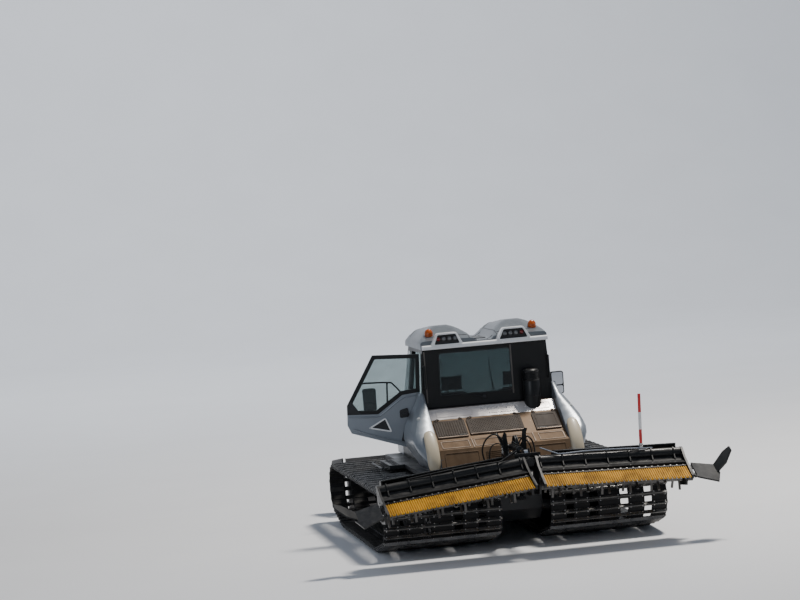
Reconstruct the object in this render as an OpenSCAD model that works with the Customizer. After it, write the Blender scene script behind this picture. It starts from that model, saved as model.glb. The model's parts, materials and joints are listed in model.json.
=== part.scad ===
// Snow groomer: a tracked cab machine with a front blade and a raised rear tiller.
// +X is forward, +Y is the machine's left, +Z is up, and the tracks stand on z = 0.

/* [Tracks] */
// Width over both tracks
track_over = 4200; // [3800:20:4600]
// Width of one track
track_w = 1740; // [1500:20:1760]
// Distance from the drive sprocket's axis to the front idler's axis
axle_span = 4560; // [4300:20:4900]
// Height of the sprocket's and the idler's axis
end_axle_z = 565; // [540:5:620]
// Radius from a wheel's axis to the tips of the track bars
wrap_r = 420; // [400:5:440]
// Height of a track bar above its belt
bar_h = 55; // [35:5:70]
// Thickness of the track belts
belt_t = 24; // [16:2:32]
// Width of one bar along the track
bar_w = 46; // [30:2:70]
// Number of bars on each track
bar_count = 40; // [30:1:60]
// Width of the belt that the wheels run on
belt_w = 340; // [300:10:400]
// Width of the belts along a track's edges
edge_w = 240; // [160:10:300]
// Number of road wheels on each side
wheel_count = 5; // [4:1:6]
// Distance between the first and the last road wheel
wheel_span = 3160; // [3000:20:3240]
// Width of a road wheel
wheel_w = 260; // [160:10:360]

/* [Body] */
// Half width of the machine's hull between the tracks
hull_half = 315; // [260:5:330]
// Top of the hull
hull_top = 1030; // [1010:5:1060]
// Height of the cab's floor
floor_z = 1120; // [1100:5:1180]
// Height of the deck behind the cab
deck_z = 1930; // [1850:10:2000]
// Half width of the cab at its floor
cab_half = 1045; // [980:5:1080]
// Cab's rear face, forward of the middle of the tracks
cab_rear = -420; // [-500:10:-360]
// Height of the cab's roof rail
roof_z = 2830; // [2700:10:2900]
// Inward lean of the cab's sides, in degrees
side_lean = 3; // [0:0.5:6]
// Thickness of the cab's walls and posts
wall_t = 60; // [45:5:80]
// Thickness of sheet covers
sheet_t = 30; // [20:2:40]
// Height of the windscreen's foot
screen_z = 1740; // [1650:10:1800]
// Front of the nose, forward of the middle of the tracks
nose_x = 2230; // [2150:10:2280]
// Half width of the nose at its front
nose_half = 600; // [560:10:900]
// Windscreen's foot, forward of the middle of the tracks
screen_foot = 1480; // [1400:10:1600]
// Windscreen's head, forward of the middle of the tracks
screen_head = 800; // [700:10:900]
// Thickness of the glass
glass_t = 8; // [5:1:12]
// Outer half width of the wide body pods over the tracks
pod_half = 1320; // [1250:10:1450]
// Half width of the pods at their foot
pod_foot = 1100; // [1060:10:1250]

/* [Doors] */
// Distance from a door's hinge to its front edge
door_w = 1110; // [1050:10:1150]
// Height of a door's lower edge at the hinge
door_z = 1330; // [1300:5:1360]
// Level stretch of a door's lower edge beside the hinge
door_flat = 110; // [100:5:160]
// Gap round a door
door_gap = 12; // [8:1:16]
// Thickness of a door
door_t = 56; // [45:1:60]
// How far the left door stands open, in degrees
door_open = 84; // [0:1:90]

/* [Rear deck] */
// Length of the outer lids down the slope
lid_len = 440; // [380:10:480]
// Thickness of a lid
lid_t = 26; // [18:2:34]
// Height of the deck's rear edge
tail_z = 1100; // [1080:10:1160]

/* [Tiller] */
// Length of each half of the tiller
half_len = 2170; // [2000:10:2300]
// Gap from the middle to each half
half_gap = 70; // [60:5:90]
// Height of the hinge between the two halves
flex_z = 1290; // [1200:10:1360]
// Place of the main tube, behind the middle of the tracks
beam_x = -3120; // [-3180:10:-3080]
// Droop of the left half, in degrees
droop_left = 5.5; // [0:0.5:6]
// Droop of the right half, in degrees
droop_right = 2; // [0:0.5:6]
// Radius over the cutter's teeth
rotor_r = 205; // [180:5:215]
// Number of teeth along each cutter
rotor_teeth = 26; // [12:1:40]
// Width of one slat of the comb
slat_w = 92; // [60:2:140]
// Slot between two slats
slat_gap = 14; // [8:1:24]
// Width of a side flap
flap_w = 400; // [340:10:440]
// Downward fold of the left flap, in degrees
wing_left_down = 12; // [0:1:20]
// Downward fold of the right flap, in degrees
wing_right_down = 10; // [0:1:20]
// Length of the fin on a flap's outer edge
fin_len = 370; // [300:10:400]
// Rise of the left fin from level, in degrees
fin_left_up = 35; // [10:1:60]
// Rise of the right fin from level, in degrees
fin_right_up = 56; // [10:1:70]

/* [Blade] */
// Width of the blade without its wings
blade_w = 3440; // [3200:20:3800]
// Height of the blade
blade_h = 900; // [800:10:980]
// Radius of the blade's hollow face
blade_r = 900; // [800:10:1200]
// Thickness of the blade's plate
blade_t = 24; // [16:2:30]
// Length of a blade wing
ear_len = 560; // [400:10:600]
// Forward fold of the blade wings, in degrees
ear_fold = 75; // [0:1:80]

/* [Hidden] */
$fn = 48;

// Clearance between moving pieces, and the seat gap between pieces that only rest on each other
run_gap = 8;
seat_gap = 0.3;

track_y = track_over / 2 - track_w / 2;
track_in = track_over / 2 - track_w;
belt_r = wrap_r - bar_h;
inner_r = belt_r - belt_t;
wrap_facets = 24;
road_r = inner_r * cos(180 / wrap_facets) - seat_gap;
rear_x = -axle_span / 2;
front_x = axle_span / 2;

plate_top = floor_z - sheet_t;

// A side panel of the cab lies in a plane that leans inward from this foot
side_z = floor_z;
door_x = cab_rear + 170;

// Slope of the deck behind the cab: each point is [x, z]
ledge_x = cab_rear - 130;
lip = [ledge_x - 200, deck_z - 170];
lid_foot = [lip[0] - 420, lip[1] - 255];
step_foot = [lid_foot[0] - 260, lid_foot[1] - 115];
tail = [step_foot[0] - 150, tail_z];
lid_slope = atan((lip[1] - lid_foot[1]) / (lip[0] - lid_foot[0]));

// Flare of the body pods: half width and height of each point, from the top down
pod_line = [[cab_half + 10, 2160], [cab_half + 60, 2020], [pod_half - 110, 1850], [pod_half - 25, 1680],
    [pod_half, 1520], [pod_half - 45, 1370], [pod_half - 130, 1240], [pod_foot, plate_top + seat_gap]];
pod_front = door_x - door_gap - 14;

// Plates and prisms: an outline in x and z stretched along y, in y and z along x, in x and y along z
module slab_y(y0, y1) {
    translate([0, y1, 0])
        rotate([90, 0, 0])
            linear_extrude(y1 - y0)
                children();
}

module slab_x(x0, x1) {
    translate([x0, 0, 0])
        rotate([90, 0, 90])
            linear_extrude(x1 - x0)
                children();
}

module slab_z(z0, z1) {
    translate([0, 0, z0])
        linear_extrude(z1 - z0)
            children();
}

// A round bar between two heights, or across the machine
module bar_y(x, z, r, y0, y1) {
    translate([x, y1, z])
        rotate([90, 0, 0])
            cylinder(r = r, h = y1 - y0);
}

module bar_x(y, z, r, x0, x1) {
    translate([x0, y, z])
        rotate([0, 90, 0])
            cylinder(r = r, h = x1 - x0);
}

// Keeps a left-hand piece on its side, or mirrors it to the right
module on_side(side) {
    mirror([0, side > 0 ? 0 : 1, 0])
        children();
}

// A flat outline in x and height, laid in the leaning plane of the cab's left side, between two depths
module in_side(out0, out1) {
    translate([0, cab_half, side_z])
        rotate([side_lean, 0, 0])
            slab_y(out0, out1)
                children();
}

// Track
module wrap_line(r) {
    hull() {
        translate([rear_x, end_axle_z])
            circle(r, $fn = wrap_facets);
        translate([front_x, end_axle_z])
            circle(r, $fn = wrap_facets);
        for (x = [-wheel_span / 2, wheel_span / 2])
            translate([x, wrap_r])
                circle(r, $fn = wrap_facets);
    }
}

// Length of the straight run between two wheel axes, and the place and slope of a point along the loop
function run_len(a, b) = norm(b - a);
corners = [[rear_x, end_axle_z], [-wheel_span / 2, wrap_r], [wheel_span / 2, wrap_r], [front_x, end_axle_z]];
function edge_dir(i) = let (d = corners[(i + 1) % 4] - corners[i]) atan2(d[1], d[0]);
function turn(i) = let (t = edge_dir(i) - edge_dir((i + 3) % 4)) t < 0 ? t + 360 : t;
function arc_len(i) = belt_r * turn(i) * PI / 180;
function leg_len(i) = arc_len(i) + run_len(corners[i], corners[(i + 1) % 4]);
loop_len = leg_len(0) + leg_len(1) + leg_len(2) + leg_len(3);

function bar_place(s, i = 0) =
    s > leg_len(i) ? bar_place(s - leg_len(i), i + 1)
    : s < arc_len(i) ? let (a = edge_dir((i + 3) % 4) + s / belt_r * 180 / PI)
        [corners[i][0] + belt_r * sin(a), corners[i][1] - belt_r * cos(a), a]
    : let (a = edge_dir(i), l = s - arc_len(i))
        [corners[i][0] + belt_r * sin(a) + l * cos(a), corners[i][1] - belt_r * cos(a) + l * sin(a), a];

module track() {
    color([0.09, 0.09, 0.1]) {
        for (belt = [[track_in, track_in + edge_w], [track_y - belt_w / 2, track_y + belt_w / 2],
                [track_over / 2 - edge_w, track_over / 2]])
            slab_y(belt[0], belt[1])
                difference() {
                    wrap_line(belt_r);
                    wrap_line(inner_r);
                }
        slab_y(track_in, track_over / 2)
            for (n = [0 : bar_count - 1]) {
                p = bar_place((n + 0.37) * loop_len / bar_count);
                translate([p[0], p[1]])
                    rotate(p[2])
                        polygon([[-bar_w / 2, 4], [bar_w / 2, 4], [bar_w / 4, -bar_h], [-bar_w / 4, -bar_h]]);
            }
    }
}

// Road wheels, sprocket and idler with the axles that carry them
module wheels() {
    axle_end = track_y + wheel_w / 2 + 60;
    color([0.13, 0.13, 0.14]) {
        for (n = [0 : wheel_count - 1]) {
            x = -wheel_span / 2 + n * wheel_span / (wheel_count - 1);
            bar_y(x, wrap_r, 48, hull_half, axle_end);
            bar_y(x, wrap_r, road_r, track_y - wheel_w / 2, track_y + wheel_w / 2);
        }
        for (x = [rear_x, front_x]) {
            bar_y(x, end_axle_z, 60, hull_half, axle_end);
            bar_y(x, end_axle_z, road_r, track_y - wheel_w / 2, track_y - wheel_w / 2 + 70);
            bar_y(x, end_axle_z, road_r, track_y + wheel_w / 2 - 70, track_y + wheel_w / 2);
            bar_y(x, end_axle_z, road_r * 0.55, track_y - wheel_w / 2, track_y + wheel_w / 2);
        }
    }
}

// Hull between the tracks, with towing ears at both ends and lugs for the push frame at the front
tow_r = 21;
tow_t = 60;
tow_z = 700;
tow_x = 2420;
push_pin = [2360, 500];
push_pin_r = 25;
push_y = 170;
push_w = 60;
barrel_r = 46;
lug_t = 18;
blade_pin = [2370, 930];
module hull_tub() {
    color([0.16, 0.16, 0.17]) {
        difference() {
            union() {
                slab_y(-hull_half, hull_half)
                    polygon([[-2300, 520], [-2050, 340], [2050, 340], [2300, 520], [2300, 900], [2150, hull_top],
                        [-2150, hull_top], [-2300, 900]]);
                for (x = [-1, 1])
                    slab_z(tow_z - tow_t / 2, tow_z + tow_t / 2)
                        polygon([[x * 2290, -80], [x * tow_x, -55], [x * (tow_x + 50), 0], [x * tow_x, 55],
                            [x * 2290, 80]]);
            }
            for (x = [-tow_x, tow_x])
                translate([x, 0, tow_z - tow_t])
                    cylinder(r = tow_r, h = 2 * tow_t);
        }
        for (y = [-push_y + run_gap, push_y - 40 - run_gap])
            slab_y(y, y + 40)
                polygon([[2290, 440], [push_pin[0] + 40, 450], [push_pin[0] + 50, 520], [push_pin[0] + 20, 560],
                    [2290, 580]]);
        bar_y(push_pin[0], push_pin[1], push_pin_r, -push_y - push_w - 12, push_y + push_w + 12);
        for (side = [-1, 1])
            on_side(side)
                cylinder_lug(blade_pin, 40, [[2140, hull_top], [2290, 880]]);
        bar_y(blade_pin[0], blade_pin[1], 20, -cyl_half - run_gap - lug_t, cyl_half + run_gap + lug_t);
        slab_z(hull_top, plate_top)
            translate([-1500, -pod_half + 30])
                square([3300, 2 * pod_half - 60]);
    }
}

// A lug beside a cylinder's eye: a plate from two seat points round the pin
cyl_half = 26;
module cylinder_lug(pin, r, seat) {
    slab_y(cyl_half + run_gap, cyl_half + run_gap + lug_t)
        hull() {
            translate(pin)
                circle(r = r);
            polygon([seat[0], seat[1], (seat[0] + pin) / 2]);
        }
}

// Cab: outline of a side, its door opening and its quarter window, in x and height over side_z
cab_h = (roof_z - side_z) / cos(side_lean);
belt_h = deck_z - side_z;
post_foot = door_x + door_w + 20;
side_line = [[cab_rear + 3, 0], [screen_foot - 3, 0], [screen_foot - 3, screen_z - side_z],
    [screen_head - 3, cab_h], [cab_rear + 3, cab_h]];
door_line = [[0, door_z - side_z], [door_flat, door_z - side_z], [door_w - 60, door_z - side_z + 260],
    [door_w, door_z - side_z + 380], [door_w, belt_h + 80], [door_w - 400, cab_h - 70], [0, cab_h - 70]];

module door_hole() {
    translate([door_x, 0])
        offset(delta = door_gap)
            polygon(door_line);
}

module cab_side() {
    difference() {
        polygon(side_line);
        door_hole();
        polygon([[post_foot + 70, belt_h + 40], [screen_foot - 150, screen_z - side_z + 70],
            [screen_head - 10, cab_h - 90], [post_foot - 300, cab_h - 90]]);
    }
}

module cab_shell() {
    top_half = cab_half - cab_h * sin(side_lean);
    rear_half = cab_half - 3;
    rear_line = [[-rear_half, side_z - 5], [rear_half, side_z - 5], [top_half - 3, roof_z], [-top_half + 3, roof_z]];
    color([0.07, 0.075, 0.08]) {
        for (side = [-1, 1])
            on_side(side) {
                in_side(-wall_t, 0)
                    cab_side();
                cab_hinges();
            }
        slab_x(cab_rear, cab_rear + wall_t)
            difference() {
                polygon(rear_line);
                polygon([[-820, deck_z + 70], [820, deck_z + 70], [790, roof_z - 80], [-790, roof_z - 80]]);
            }
        slab_z(side_z - sheet_t, side_z + 10)
            translate([cab_rear + 6, -cab_half + 10])
                square([screen_foot - cab_rear - 12, 2 * cab_half - 20]);
        slab_x(screen_foot - wall_t, screen_foot)
            polygon([[-cab_half + 10, side_z], [cab_half - 10, side_z], [cab_half - 40, screen_z - 20],
                [-cab_half + 40, screen_z - 20]]);
        screen_frame();
    }
}

// Windscreen frame: a plate in the raked plane with its opening cut
screen_rake = atan((screen_foot - screen_head) / (roof_z - screen_z));
screen_len = norm([screen_foot - screen_head, roof_z - screen_z]);
module in_screen(depth0, depth1) {
    translate([screen_foot, 0, screen_z])
        rotate([0, -screen_rake, 0])
            slab_x(depth0, depth1)
                children();
}

module screen_frame() {
    foot_half = cab_half - 37;
    head_half = cab_half - 95;
    in_screen(-wall_t, 0)
        difference() {
            polygon([[-foot_half, 0], [foot_half, 0], [head_half, screen_len], [-head_half, screen_len]]);
            polygon([[-foot_half + 70, 60], [foot_half - 70, 60], [head_half - 70, screen_len - 80],
                [-head_half + 70, screen_len - 80]]);
        }
}

module windscreen() {
    foot_half = cab_half - 37;
    head_half = cab_half - 95;
    color([0.35, 0.45, 0.47, 0.35])
        in_screen(seat_gap, seat_gap + glass_t)
            polygon([[-foot_half + 50, 40], [foot_half - 50, 40], [head_half - 50, screen_len - 60],
                [-head_half + 50, screen_len - 60]]);
}

module rear_glass() {
    color([0.3, 0.4, 0.43, 0.35])
        slab_x(cab_rear - seat_gap - glass_t, cab_rear - seat_gap)
            polygon([[-845, deck_z + 50], [845, deck_z + 50], [810, roof_z - 60], [-810, roof_z - 60]]);
}

module side_glass() {
    color([0.3, 0.4, 0.43, 0.35])
        for (side = [-1, 1])
            on_side(side)
                in_side(seat_gap, seat_gap + glass_t)
                    polygon([[post_foot + 50, belt_h + 20], [screen_foot - 130, screen_z - side_z + 50],
                        [screen_head + 10, cab_h - 70], [post_foot - 290, cab_h - 70]]);
}

// Roof: two raised lobes with a sunken middle
roof_half = 975;
module roof() {
    color([0.56, 0.6, 0.63])
        difference() {
            roof_form();
            for (side = [-1, 1])
                translate([beacon_x, side * beacon_y, base_z - seat_gap])
                    cylinder(r = base_r + seat_gap, h = 300);
        }
}

module roof_form() {
    intersection() {
        slab_x(cab_rear - 10, screen_head + 160)
            union() {
                translate([-roof_half, roof_z])
                    square([2 * roof_half, 70]);
                for (side = [-1, 1])
                    translate([side * 560, roof_z - 150])
                        circle(r = 480);
            }
        slab_y(-roof_half, roof_half)
            polygon([[cab_rear - 10, roof_z + 0.01], [screen_head + 160, roof_z + 0.01],
                [screen_head + 150, roof_z + 60], [screen_head - 60, roof_z + 250], [cab_rear + 520, roof_z + 330],
                [cab_rear + 240, roof_z + 210], [cab_rear - 10, roof_z + 120]]);
        slab_z(roof_z + seat_gap, roof_z + 340)
            translate([cab_rear - 10, -roof_half])
                square([screen_head + 170 - cab_rear, 2 * roof_half]);
    }
}

// Bright rear bar with two lamp pods; each pod is [middle, half foot, half head] across the machine
pods = [[585, 246, 150], [-440, 270, 160]];
bar_top = roof_z + 62;
pod_top = roof_z + 235;
module spoiler() {
    color([0.82, 0.84, 0.86])
        slab_x(cab_rear - 130, cab_rear - 10 - seat_gap)
            union() {
                translate([-965, roof_z - 4])
                    square([1930, bar_top - roof_z + 4]);
                for (p = pods)
                    polygon([[p[0] - p[1], bar_top - 1], [p[0] + p[1], bar_top - 1], [p[0] + p[2], pod_top],
                        [p[0] - p[2], pod_top]]);
            }
}

module work_lamps() {
    color([0.9, 0.9, 0.86])
        for (p = pods)
            for (n = [-1.5 : 1 : 1.5])
                bar_x(p[0] + n * 86, bar_top + 84, 38, cab_rear - 160, cab_rear - 130 - seat_gap);
}

beacon_y = 800;
beacon_x = cab_rear + 200;
base_r = 78;
base_z = roof_z + 90;
base_top = base_z + 70;
module beacon_bases() {
    color([0.06, 0.06, 0.06])
        for (side = [-1, 1])
            translate([beacon_x, side * beacon_y, base_z])
                cylinder(r = base_r, h = base_top - base_z);
}

module beacons() {
    color([0.95, 0.42, 0.05])
        for (side = [-1, 1])
            translate([beacon_x, side * beacon_y, base_top + seat_gap])
                rotate_extrude()
                    intersection() {
                        union() {
                            square([66, 80]);
                            translate([0, 80])
                                circle(r = 66);
                        }
                        square([66, 138]);
                    }
}

// Two seats
seat_y = 480;
module seat() {
    translate([250, 0, floor_z + 10]) {
        slab_z(0, 320)
            translate([-160, -150])
                square([320, 300]);
        slab_y(-250, 250)
            polygon([[-260, 320], [270, 320], [290, 400], [250, 440], [-260, 420]]);
        slab_y(-240, 240)
            polygon([[-260, 330], [-130, 400], [-250, 1050], [-350, 1050], [-370, 1000]]);
        slab_y(-130, 130)
            polygon([[-345, 1040], [-250, 1040], [-270, 1250], [-340, 1250]]);
    }
}

module seats() {
    color([0.08, 0.08, 0.09])
        for (side = [-1, 1])
            translate([0, side * seat_y, seat_gap])
                seat();
}

// Dashboard across the front of the cab
module console() {
    color([0.1, 0.1, 0.11])
        slab_y(-900, 900)
            polygon([[screen_foot - 420, 1450], [screen_foot - 380, 1620], [screen_foot - 150, 1690],
                [screen_foot - wall_t - seat_gap, 1640], [screen_foot - wall_t - seat_gap, floor_z + 10.3],
                [screen_foot - 200, floor_z + 10.3]]);
}

// Engine: one plain block under the rear deck
module engine_block() {
    color([0.3, 0.3, 0.31])
        translate([-1240, -380, plate_top + seat_gap])
            cube([700, 760, 330]);
}

// Rear deck: a folded cover with three openings that the lids close; each lid is [low y, high y, length]
lids = [[470, 940, lid_len], [-390, 440, lid_len - 30], [-950, -560, lid_len]];
module deck_line(inset) {
    polygon([[cab_rear - seat_gap - inset, plate_top + seat_gap], [cab_rear - seat_gap - inset, deck_z - inset],
        [ledge_x, deck_z - inset], [lip[0] + inset / 2, lip[1] - inset], [lid_foot[0] + inset / 2, lid_foot[1] - inset],
        [step_foot[0] + inset / 2, step_foot[1] - inset], [tail[0] + inset, tail[1]],
        [tail[0] + inset, plate_top + seat_gap]]);
}

module in_lid() {
    translate([lip[0], 0, lip[1]])
        rotate([0, -lid_slope, 0])
            children();
}

deck_half = 985;
lid_pin_z = 20;
lid_pin_r = 7;
module deck() {
    color([0.42, 0.36, 0.32])
        difference() {
            slab_y(-deck_half, deck_half)
                deck_line(0);
            slab_y(-deck_half + sheet_t, deck_half - sheet_t)
                deck_line(sheet_t);
            for (l = lids)
                in_lid()
                    translate([-l[2] + 50, l[0] + 40, -60])
                        cube([l[2] - 110, l[1] - l[0] - 80, 100]);
        }
    color([0.12, 0.12, 0.12])
        for (l = lids)
            for (y = [l[0] + 45, l[1] - 45])
                in_lid() {
                    bar_y(0, lid_pin_z, lid_pin_r, y - 26, y + 26);
                    for (post = [y - 26, y + 17])
                        slab_y(post, post + 9)
                            polygon([[-16, -4], [16, -4], [9, lid_pin_z + 8], [-9, lid_pin_z + 8]]);
                }
}

module lid(n) {
    l = lids[n];
    color([0.4, 0.36, 0.33])
        in_lid()
            difference() {
                union() {
                    translate([-l[2], l[0], seat_gap])
                        cube([l[2] - 24, l[1] - l[0], lid_t]);
                    for (y = [l[0] + 45, l[1] - 45]) {
                        bar_y(0, lid_pin_z, 13, y - 14, y + 14);
                        translate([-34, y - 14, 9])
                            cube([34, 28, 17]);
                    }
                }
                translate([-l[2] + 30, l[0] + 30, lid_t - 8])
                    cube([l[2] - 90, l[1] - l[0] - 60, 30]);
                bar_y(0, lid_pin_z, lid_pin_r + 0.05, l[0] - 10, l[1] + 10);
            }
}

// Wide body pod beside the deck and behind the door, rounded towards the rear
pod_round = 400;
module pod_section() {
    polygon(concat([[deck_half + seat_gap, 2180]], pod_line, [[deck_half + seat_gap, plate_top + seat_gap]]));
}

module pod(side) {
    color([0.56, 0.6, 0.63])
        on_side(side)
            intersection() {
                slab_x(-1500, pod_front)
                    pod_section();
                slab_y(deck_half, pod_half + 10)
                    polygon([[-1500, 1080], [-1500, 1240], [-1350, 1480], [-800, 1900], [cab_rear - 20, 2200],
                        [pod_front, 2200], [pod_front, 1080]]);
                slab_z(1080, 2200)
                    difference() {
                        union() {
                            translate([pod_round - 1500, 0])
                                square([1500, pod_half + 50]);
                            translate([pod_round - 1500, pod_half - pod_round])
                                circle(r = pod_round);
                        }
                        translate([cab_rear - seat_gap, 0])
                            square([1200, cab_half + seat_gap]);
                    }
            }
}

// Nose in front of the windscreen
module nose_line() {
    polygon([[screen_foot + seat_gap, plate_top + seat_gap], [screen_foot + seat_gap, screen_z - 20],
        [screen_foot + 200, screen_z - 90], [nose_x - 80, screen_z - 320], [nose_x, screen_z - 490],
        [nose_x, plate_top + seat_gap]]);
}

module nose() {
    color([0.56, 0.6, 0.63])
        intersection() {
            slab_y(-cab_half, cab_half)
                nose_line();
            slab_z(plate_top, screen_z + 60)
                polygon([[screen_foot - 80, -cab_half], [nose_x - 230, -cab_half], [nose_x + 30, -nose_half],
                    [nose_x + 30, nose_half], [nose_x - 230, cab_half], [screen_foot - 80, cab_half]]);
        }
}

module head_lamps() {
    color([0.92, 0.93, 0.9])
        difference() {
            for (side = [-1, 1])
                for (y = [380, 540])
                    bar_x(side * y, screen_z - 410, 60, nose_x - 80, nose_x + 15);
            slab_y(-cab_half, cab_half)
                offset(delta = seat_gap)
                    nose_line();
        }
}

// Mirrors on arms at the front corners
module mirrors() {
    color([0.06, 0.06, 0.06])
        for (side = [-1, 1])
            on_side(side) {
                bar_y(screen_foot + 60, 1500, 20, cab_half + seat_gap, 1520);
                translate([screen_foot + 60, 1500, 1490])
                    cylinder(r = 20, h = 620);
                translate([screen_foot + 30, 1400, 1800])
                    cube([70, 220, 380]);
            }
}

// Tread plates beside the cab, over the tracks
step_x0 = 0;
step_len = 900;
module steps() {
    color([0.2, 0.2, 0.21])
        for (side = [-1, 1])
            on_side(side)
                difference() {
                    translate([step_x0, pod_half - 30 + seat_gap, hull_top])
                        cube([step_len, 230, 60]);
                    for (n = [0 : 8])
                        translate([step_x0 + 60 + n * 90, pod_half + 30, hull_top - 10])
                            cube([50, 120, 100]);
                }
}

// Upright intake stack behind the cab's right rear corner
stack_y = -650;
stack_r = 130;
stack_h = 490;
module stack() {
    color([0.05, 0.05, 0.055])
        difference() {
            translate([cab_rear - 12 - stack_r, stack_y, lip[1]])
                cylinder(r = stack_r, h = deck_z + stack_h - lip[1]);
            slab_y(stack_y - 200, stack_y + 200)
                deck_line(-seat_gap);
        }
}

module grab_rails() {
    color([0.05, 0.05, 0.055])
        for (side = [-1, 1])
            on_side(side)
                translate([cab_rear - 70, cab_half - 90, 2250]) {
                    cylinder(r = 16, h = 330);
                    for (z = [0, 330])
                        bar_x(0, z, 16, 0, 70 - seat_gap);
                }
}

// Carrier at the hull's rear: side cheeks, the lift arm's cross pin and a valve block
arm_pivot = [-2010, 1180];
arm_pin_r = 30;
arm_y = 130;
arm_w = 60;
barrel_pin = [-1860, 1400];
block_top = 1290;
module carrier() {
    cheek_y = arm_y + arm_w + 20;
    color([0.2, 0.2, 0.21]) {
        for (side = [-1, 1])
            on_side(side)
                slab_y(cheek_y, cheek_y + 40)
                    polygon([[-2140, hull_top + seat_gap], [-1700, hull_top + seat_gap], [-1760, 1230],
                        [arm_pivot[0] + 60, 1270], [arm_pivot[0] - 70, 1240]]);
        bar_y(arm_pivot[0], arm_pivot[1], arm_pin_r, -cheek_y - 50, cheek_y + 50);
        translate([-1960, -arm_y + 20, hull_top + seat_gap])
            cube([300, 2 * arm_y - 40, block_top - hull_top - seat_gap]);
        slab_z(hull_top + seat_gap, hull_top + 40)
            translate([-1760, -cheek_y - 40])
                square([90, 2 * cheek_y + 80]);
        for (side = [-1, 1])
            on_side(side)
                cylinder_lug(barrel_pin, 40, [[-1880, block_top - 10], [-1770, block_top - 10]]);
        bar_y(barrel_pin[0], barrel_pin[1], 20, -cyl_half - run_gap - lug_t, cyl_half + run_gap + lug_t);
    }
}

// Doors, drawn closed on the left side
hinge_out = 18;
module door_panel() {
    difference() {
        union() {
            in_side(-door_t, 0)
                translate([door_x, 0])
                    intersection() {
                        polygon(door_line);
                        polygon([[-10, -50], [door_w + 10, -50], [door_w + 10, belt_h - 60], [640, belt_h - 60],
                            [270, belt_h + 220], [-10, belt_h + 260]]);
                    }
            for (z = hinge_zs)
                on_hinge(z + hinge_h / 2 + 1) {
                    cylinder(r = 14, h = hinge_h / 2);
                    translate([4, -hinge_out - 4, 0])
                        cube([50, hinge_out + 14, hinge_h / 2]);
                }
        }
        on_hinge(0)
            cylinder(r = hinge_r + 0.05, h = cab_h);
    }
}

// The left door's hinge line, and the cab's half of each hinge with its pin
hinge_zs = [240, 940];
hinge_h = 90;
hinge_r = 7;
module on_hinge(z) {
    translate([door_x, cab_half, side_z])
        rotate([side_lean, 0, 0])
            translate([0, hinge_out, z])
                children();
}

module cab_hinges() {
    for (z = hinge_zs)
        on_hinge(z) {
            cylinder(r = hinge_r, h = hinge_h);
            cylinder(r = 12, h = hinge_h / 2);
            translate([-24, -hinge_out - 4, 0])
                cube([20, hinge_out + 12, hinge_h / 2]);
        }
}

module door_frame_line() {
    intersection() {
        polygon(door_line);
        polygon([[-10, belt_h + 261], [270, belt_h + 221], [640, belt_h - 59], [door_w + 10, belt_h - 59],
            [door_w + 10, cab_h + 10], [-10, cab_h + 10]]);
    }
}

module door_frame() {
    in_side(-door_t, 0)
        translate([door_x, 0])
            difference() {
                door_frame_line();
                offset(delta = -60)
                    door_frame_line();
            }
}

module door_pane() {
    in_side(-door_t / 2, -door_t / 2 + glass_t)
        translate([door_x, 0])
            offset(delta = -60.3)
                door_frame_line();
}

// Turns a left-hand door about its hinge line
module swing(angle) {
    translate([door_x, cab_half, side_z])
        rotate([side_lean, 0, 0])
            translate([0, hinge_out, 0])
                rotate([0, 0, angle])
                    translate([0, -hinge_out, 0])
                        rotate([-side_lean, 0, 0])
                            translate([-door_x, -cab_half, -side_z])
                                children();
}

module door_left() {
    color([0.56, 0.6, 0.63])
        swing(door_open)
            door_panel();
}

module door_left_frame() {
    color([0.05, 0.05, 0.055])
        swing(door_open)
            door_frame();
}

module door_left_glass() {
    color([0.3, 0.4, 0.43, 0.35])
        swing(door_open)
            door_pane();
}

module door_right() {
    color([0.56, 0.6, 0.63])
        on_side(-1)
            door_panel();
}

module door_right_frame() {
    color([0.05, 0.05, 0.055])
        on_side(-1)
            door_frame();
}

module door_right_glass() {
    color([0.3, 0.4, 0.43, 0.35])
        on_side(-1)
            door_pane();
}

// Lift arm: two bars from the carrier to the middle of the tiller, with the flex hinge's pin
flex_r = 32;
arm_face = beam_x + 110;
rod_pin = [arm_face + 115, 1400];
module lift_arm() {
    color([0.1, 0.1, 0.11]) {
        for (side = [-1, 1])
            on_side(side)
                slab_y(arm_y, arm_y + arm_w)
                    difference() {
                        polygon([[arm_pivot[0] + 55, arm_pivot[1] - 40], [arm_pivot[0] + 40, arm_pivot[1] + 55],
                            [arm_face, flex_z + 110], [arm_face, flex_z - 90], [arm_face + 280, arm_pivot[1] - 70],
                            [arm_pivot[0], arm_pivot[1] - 70]]);
                        translate(arm_pivot)
                            circle(r = arm_pin_r + 0.05);
                    }
        slab_x(arm_face, arm_face + 60)
            translate([-arm_y - 20, flex_z - 90])
                square([2 * arm_y + 40, 200]);
        bar_x(0, flex_z, flex_r, beam_x - 100, arm_face + 10);
        for (side = [-1, 1])
            on_side(side)
                slab_y(cyl_half + run_gap, cyl_half + run_gap + lug_t)
                    polygon([[arm_face + 50, flex_z + 30], [rod_pin[0] + 60, rod_pin[1] - 60],
                        [rod_pin[0] + 60, rod_pin[1] + 20], [rod_pin[0] + 20, rod_pin[1] + 60],
                        [rod_pin[0] - 40, rod_pin[1] + 60], [arm_face + 50, flex_z + 108]]);
    }
}

// One half of the tiller, drawn level on the left side
cover_r = rotor_r + 45;
cover_t = 12;
rotor_x = beam_x - 60;
rotor_z = flex_z - 330;
comb_top = [rotor_x - 225, rotor_z + 170];
comb_len = 365;
comb_slope = 24;
comb_t = 22;
rib_t = 30;
half_end = half_gap + half_len;
wing_pin_r = 12;
wing_y = half_end + 24;
knuckle_r = 60;
shaft_r = 45;

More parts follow.
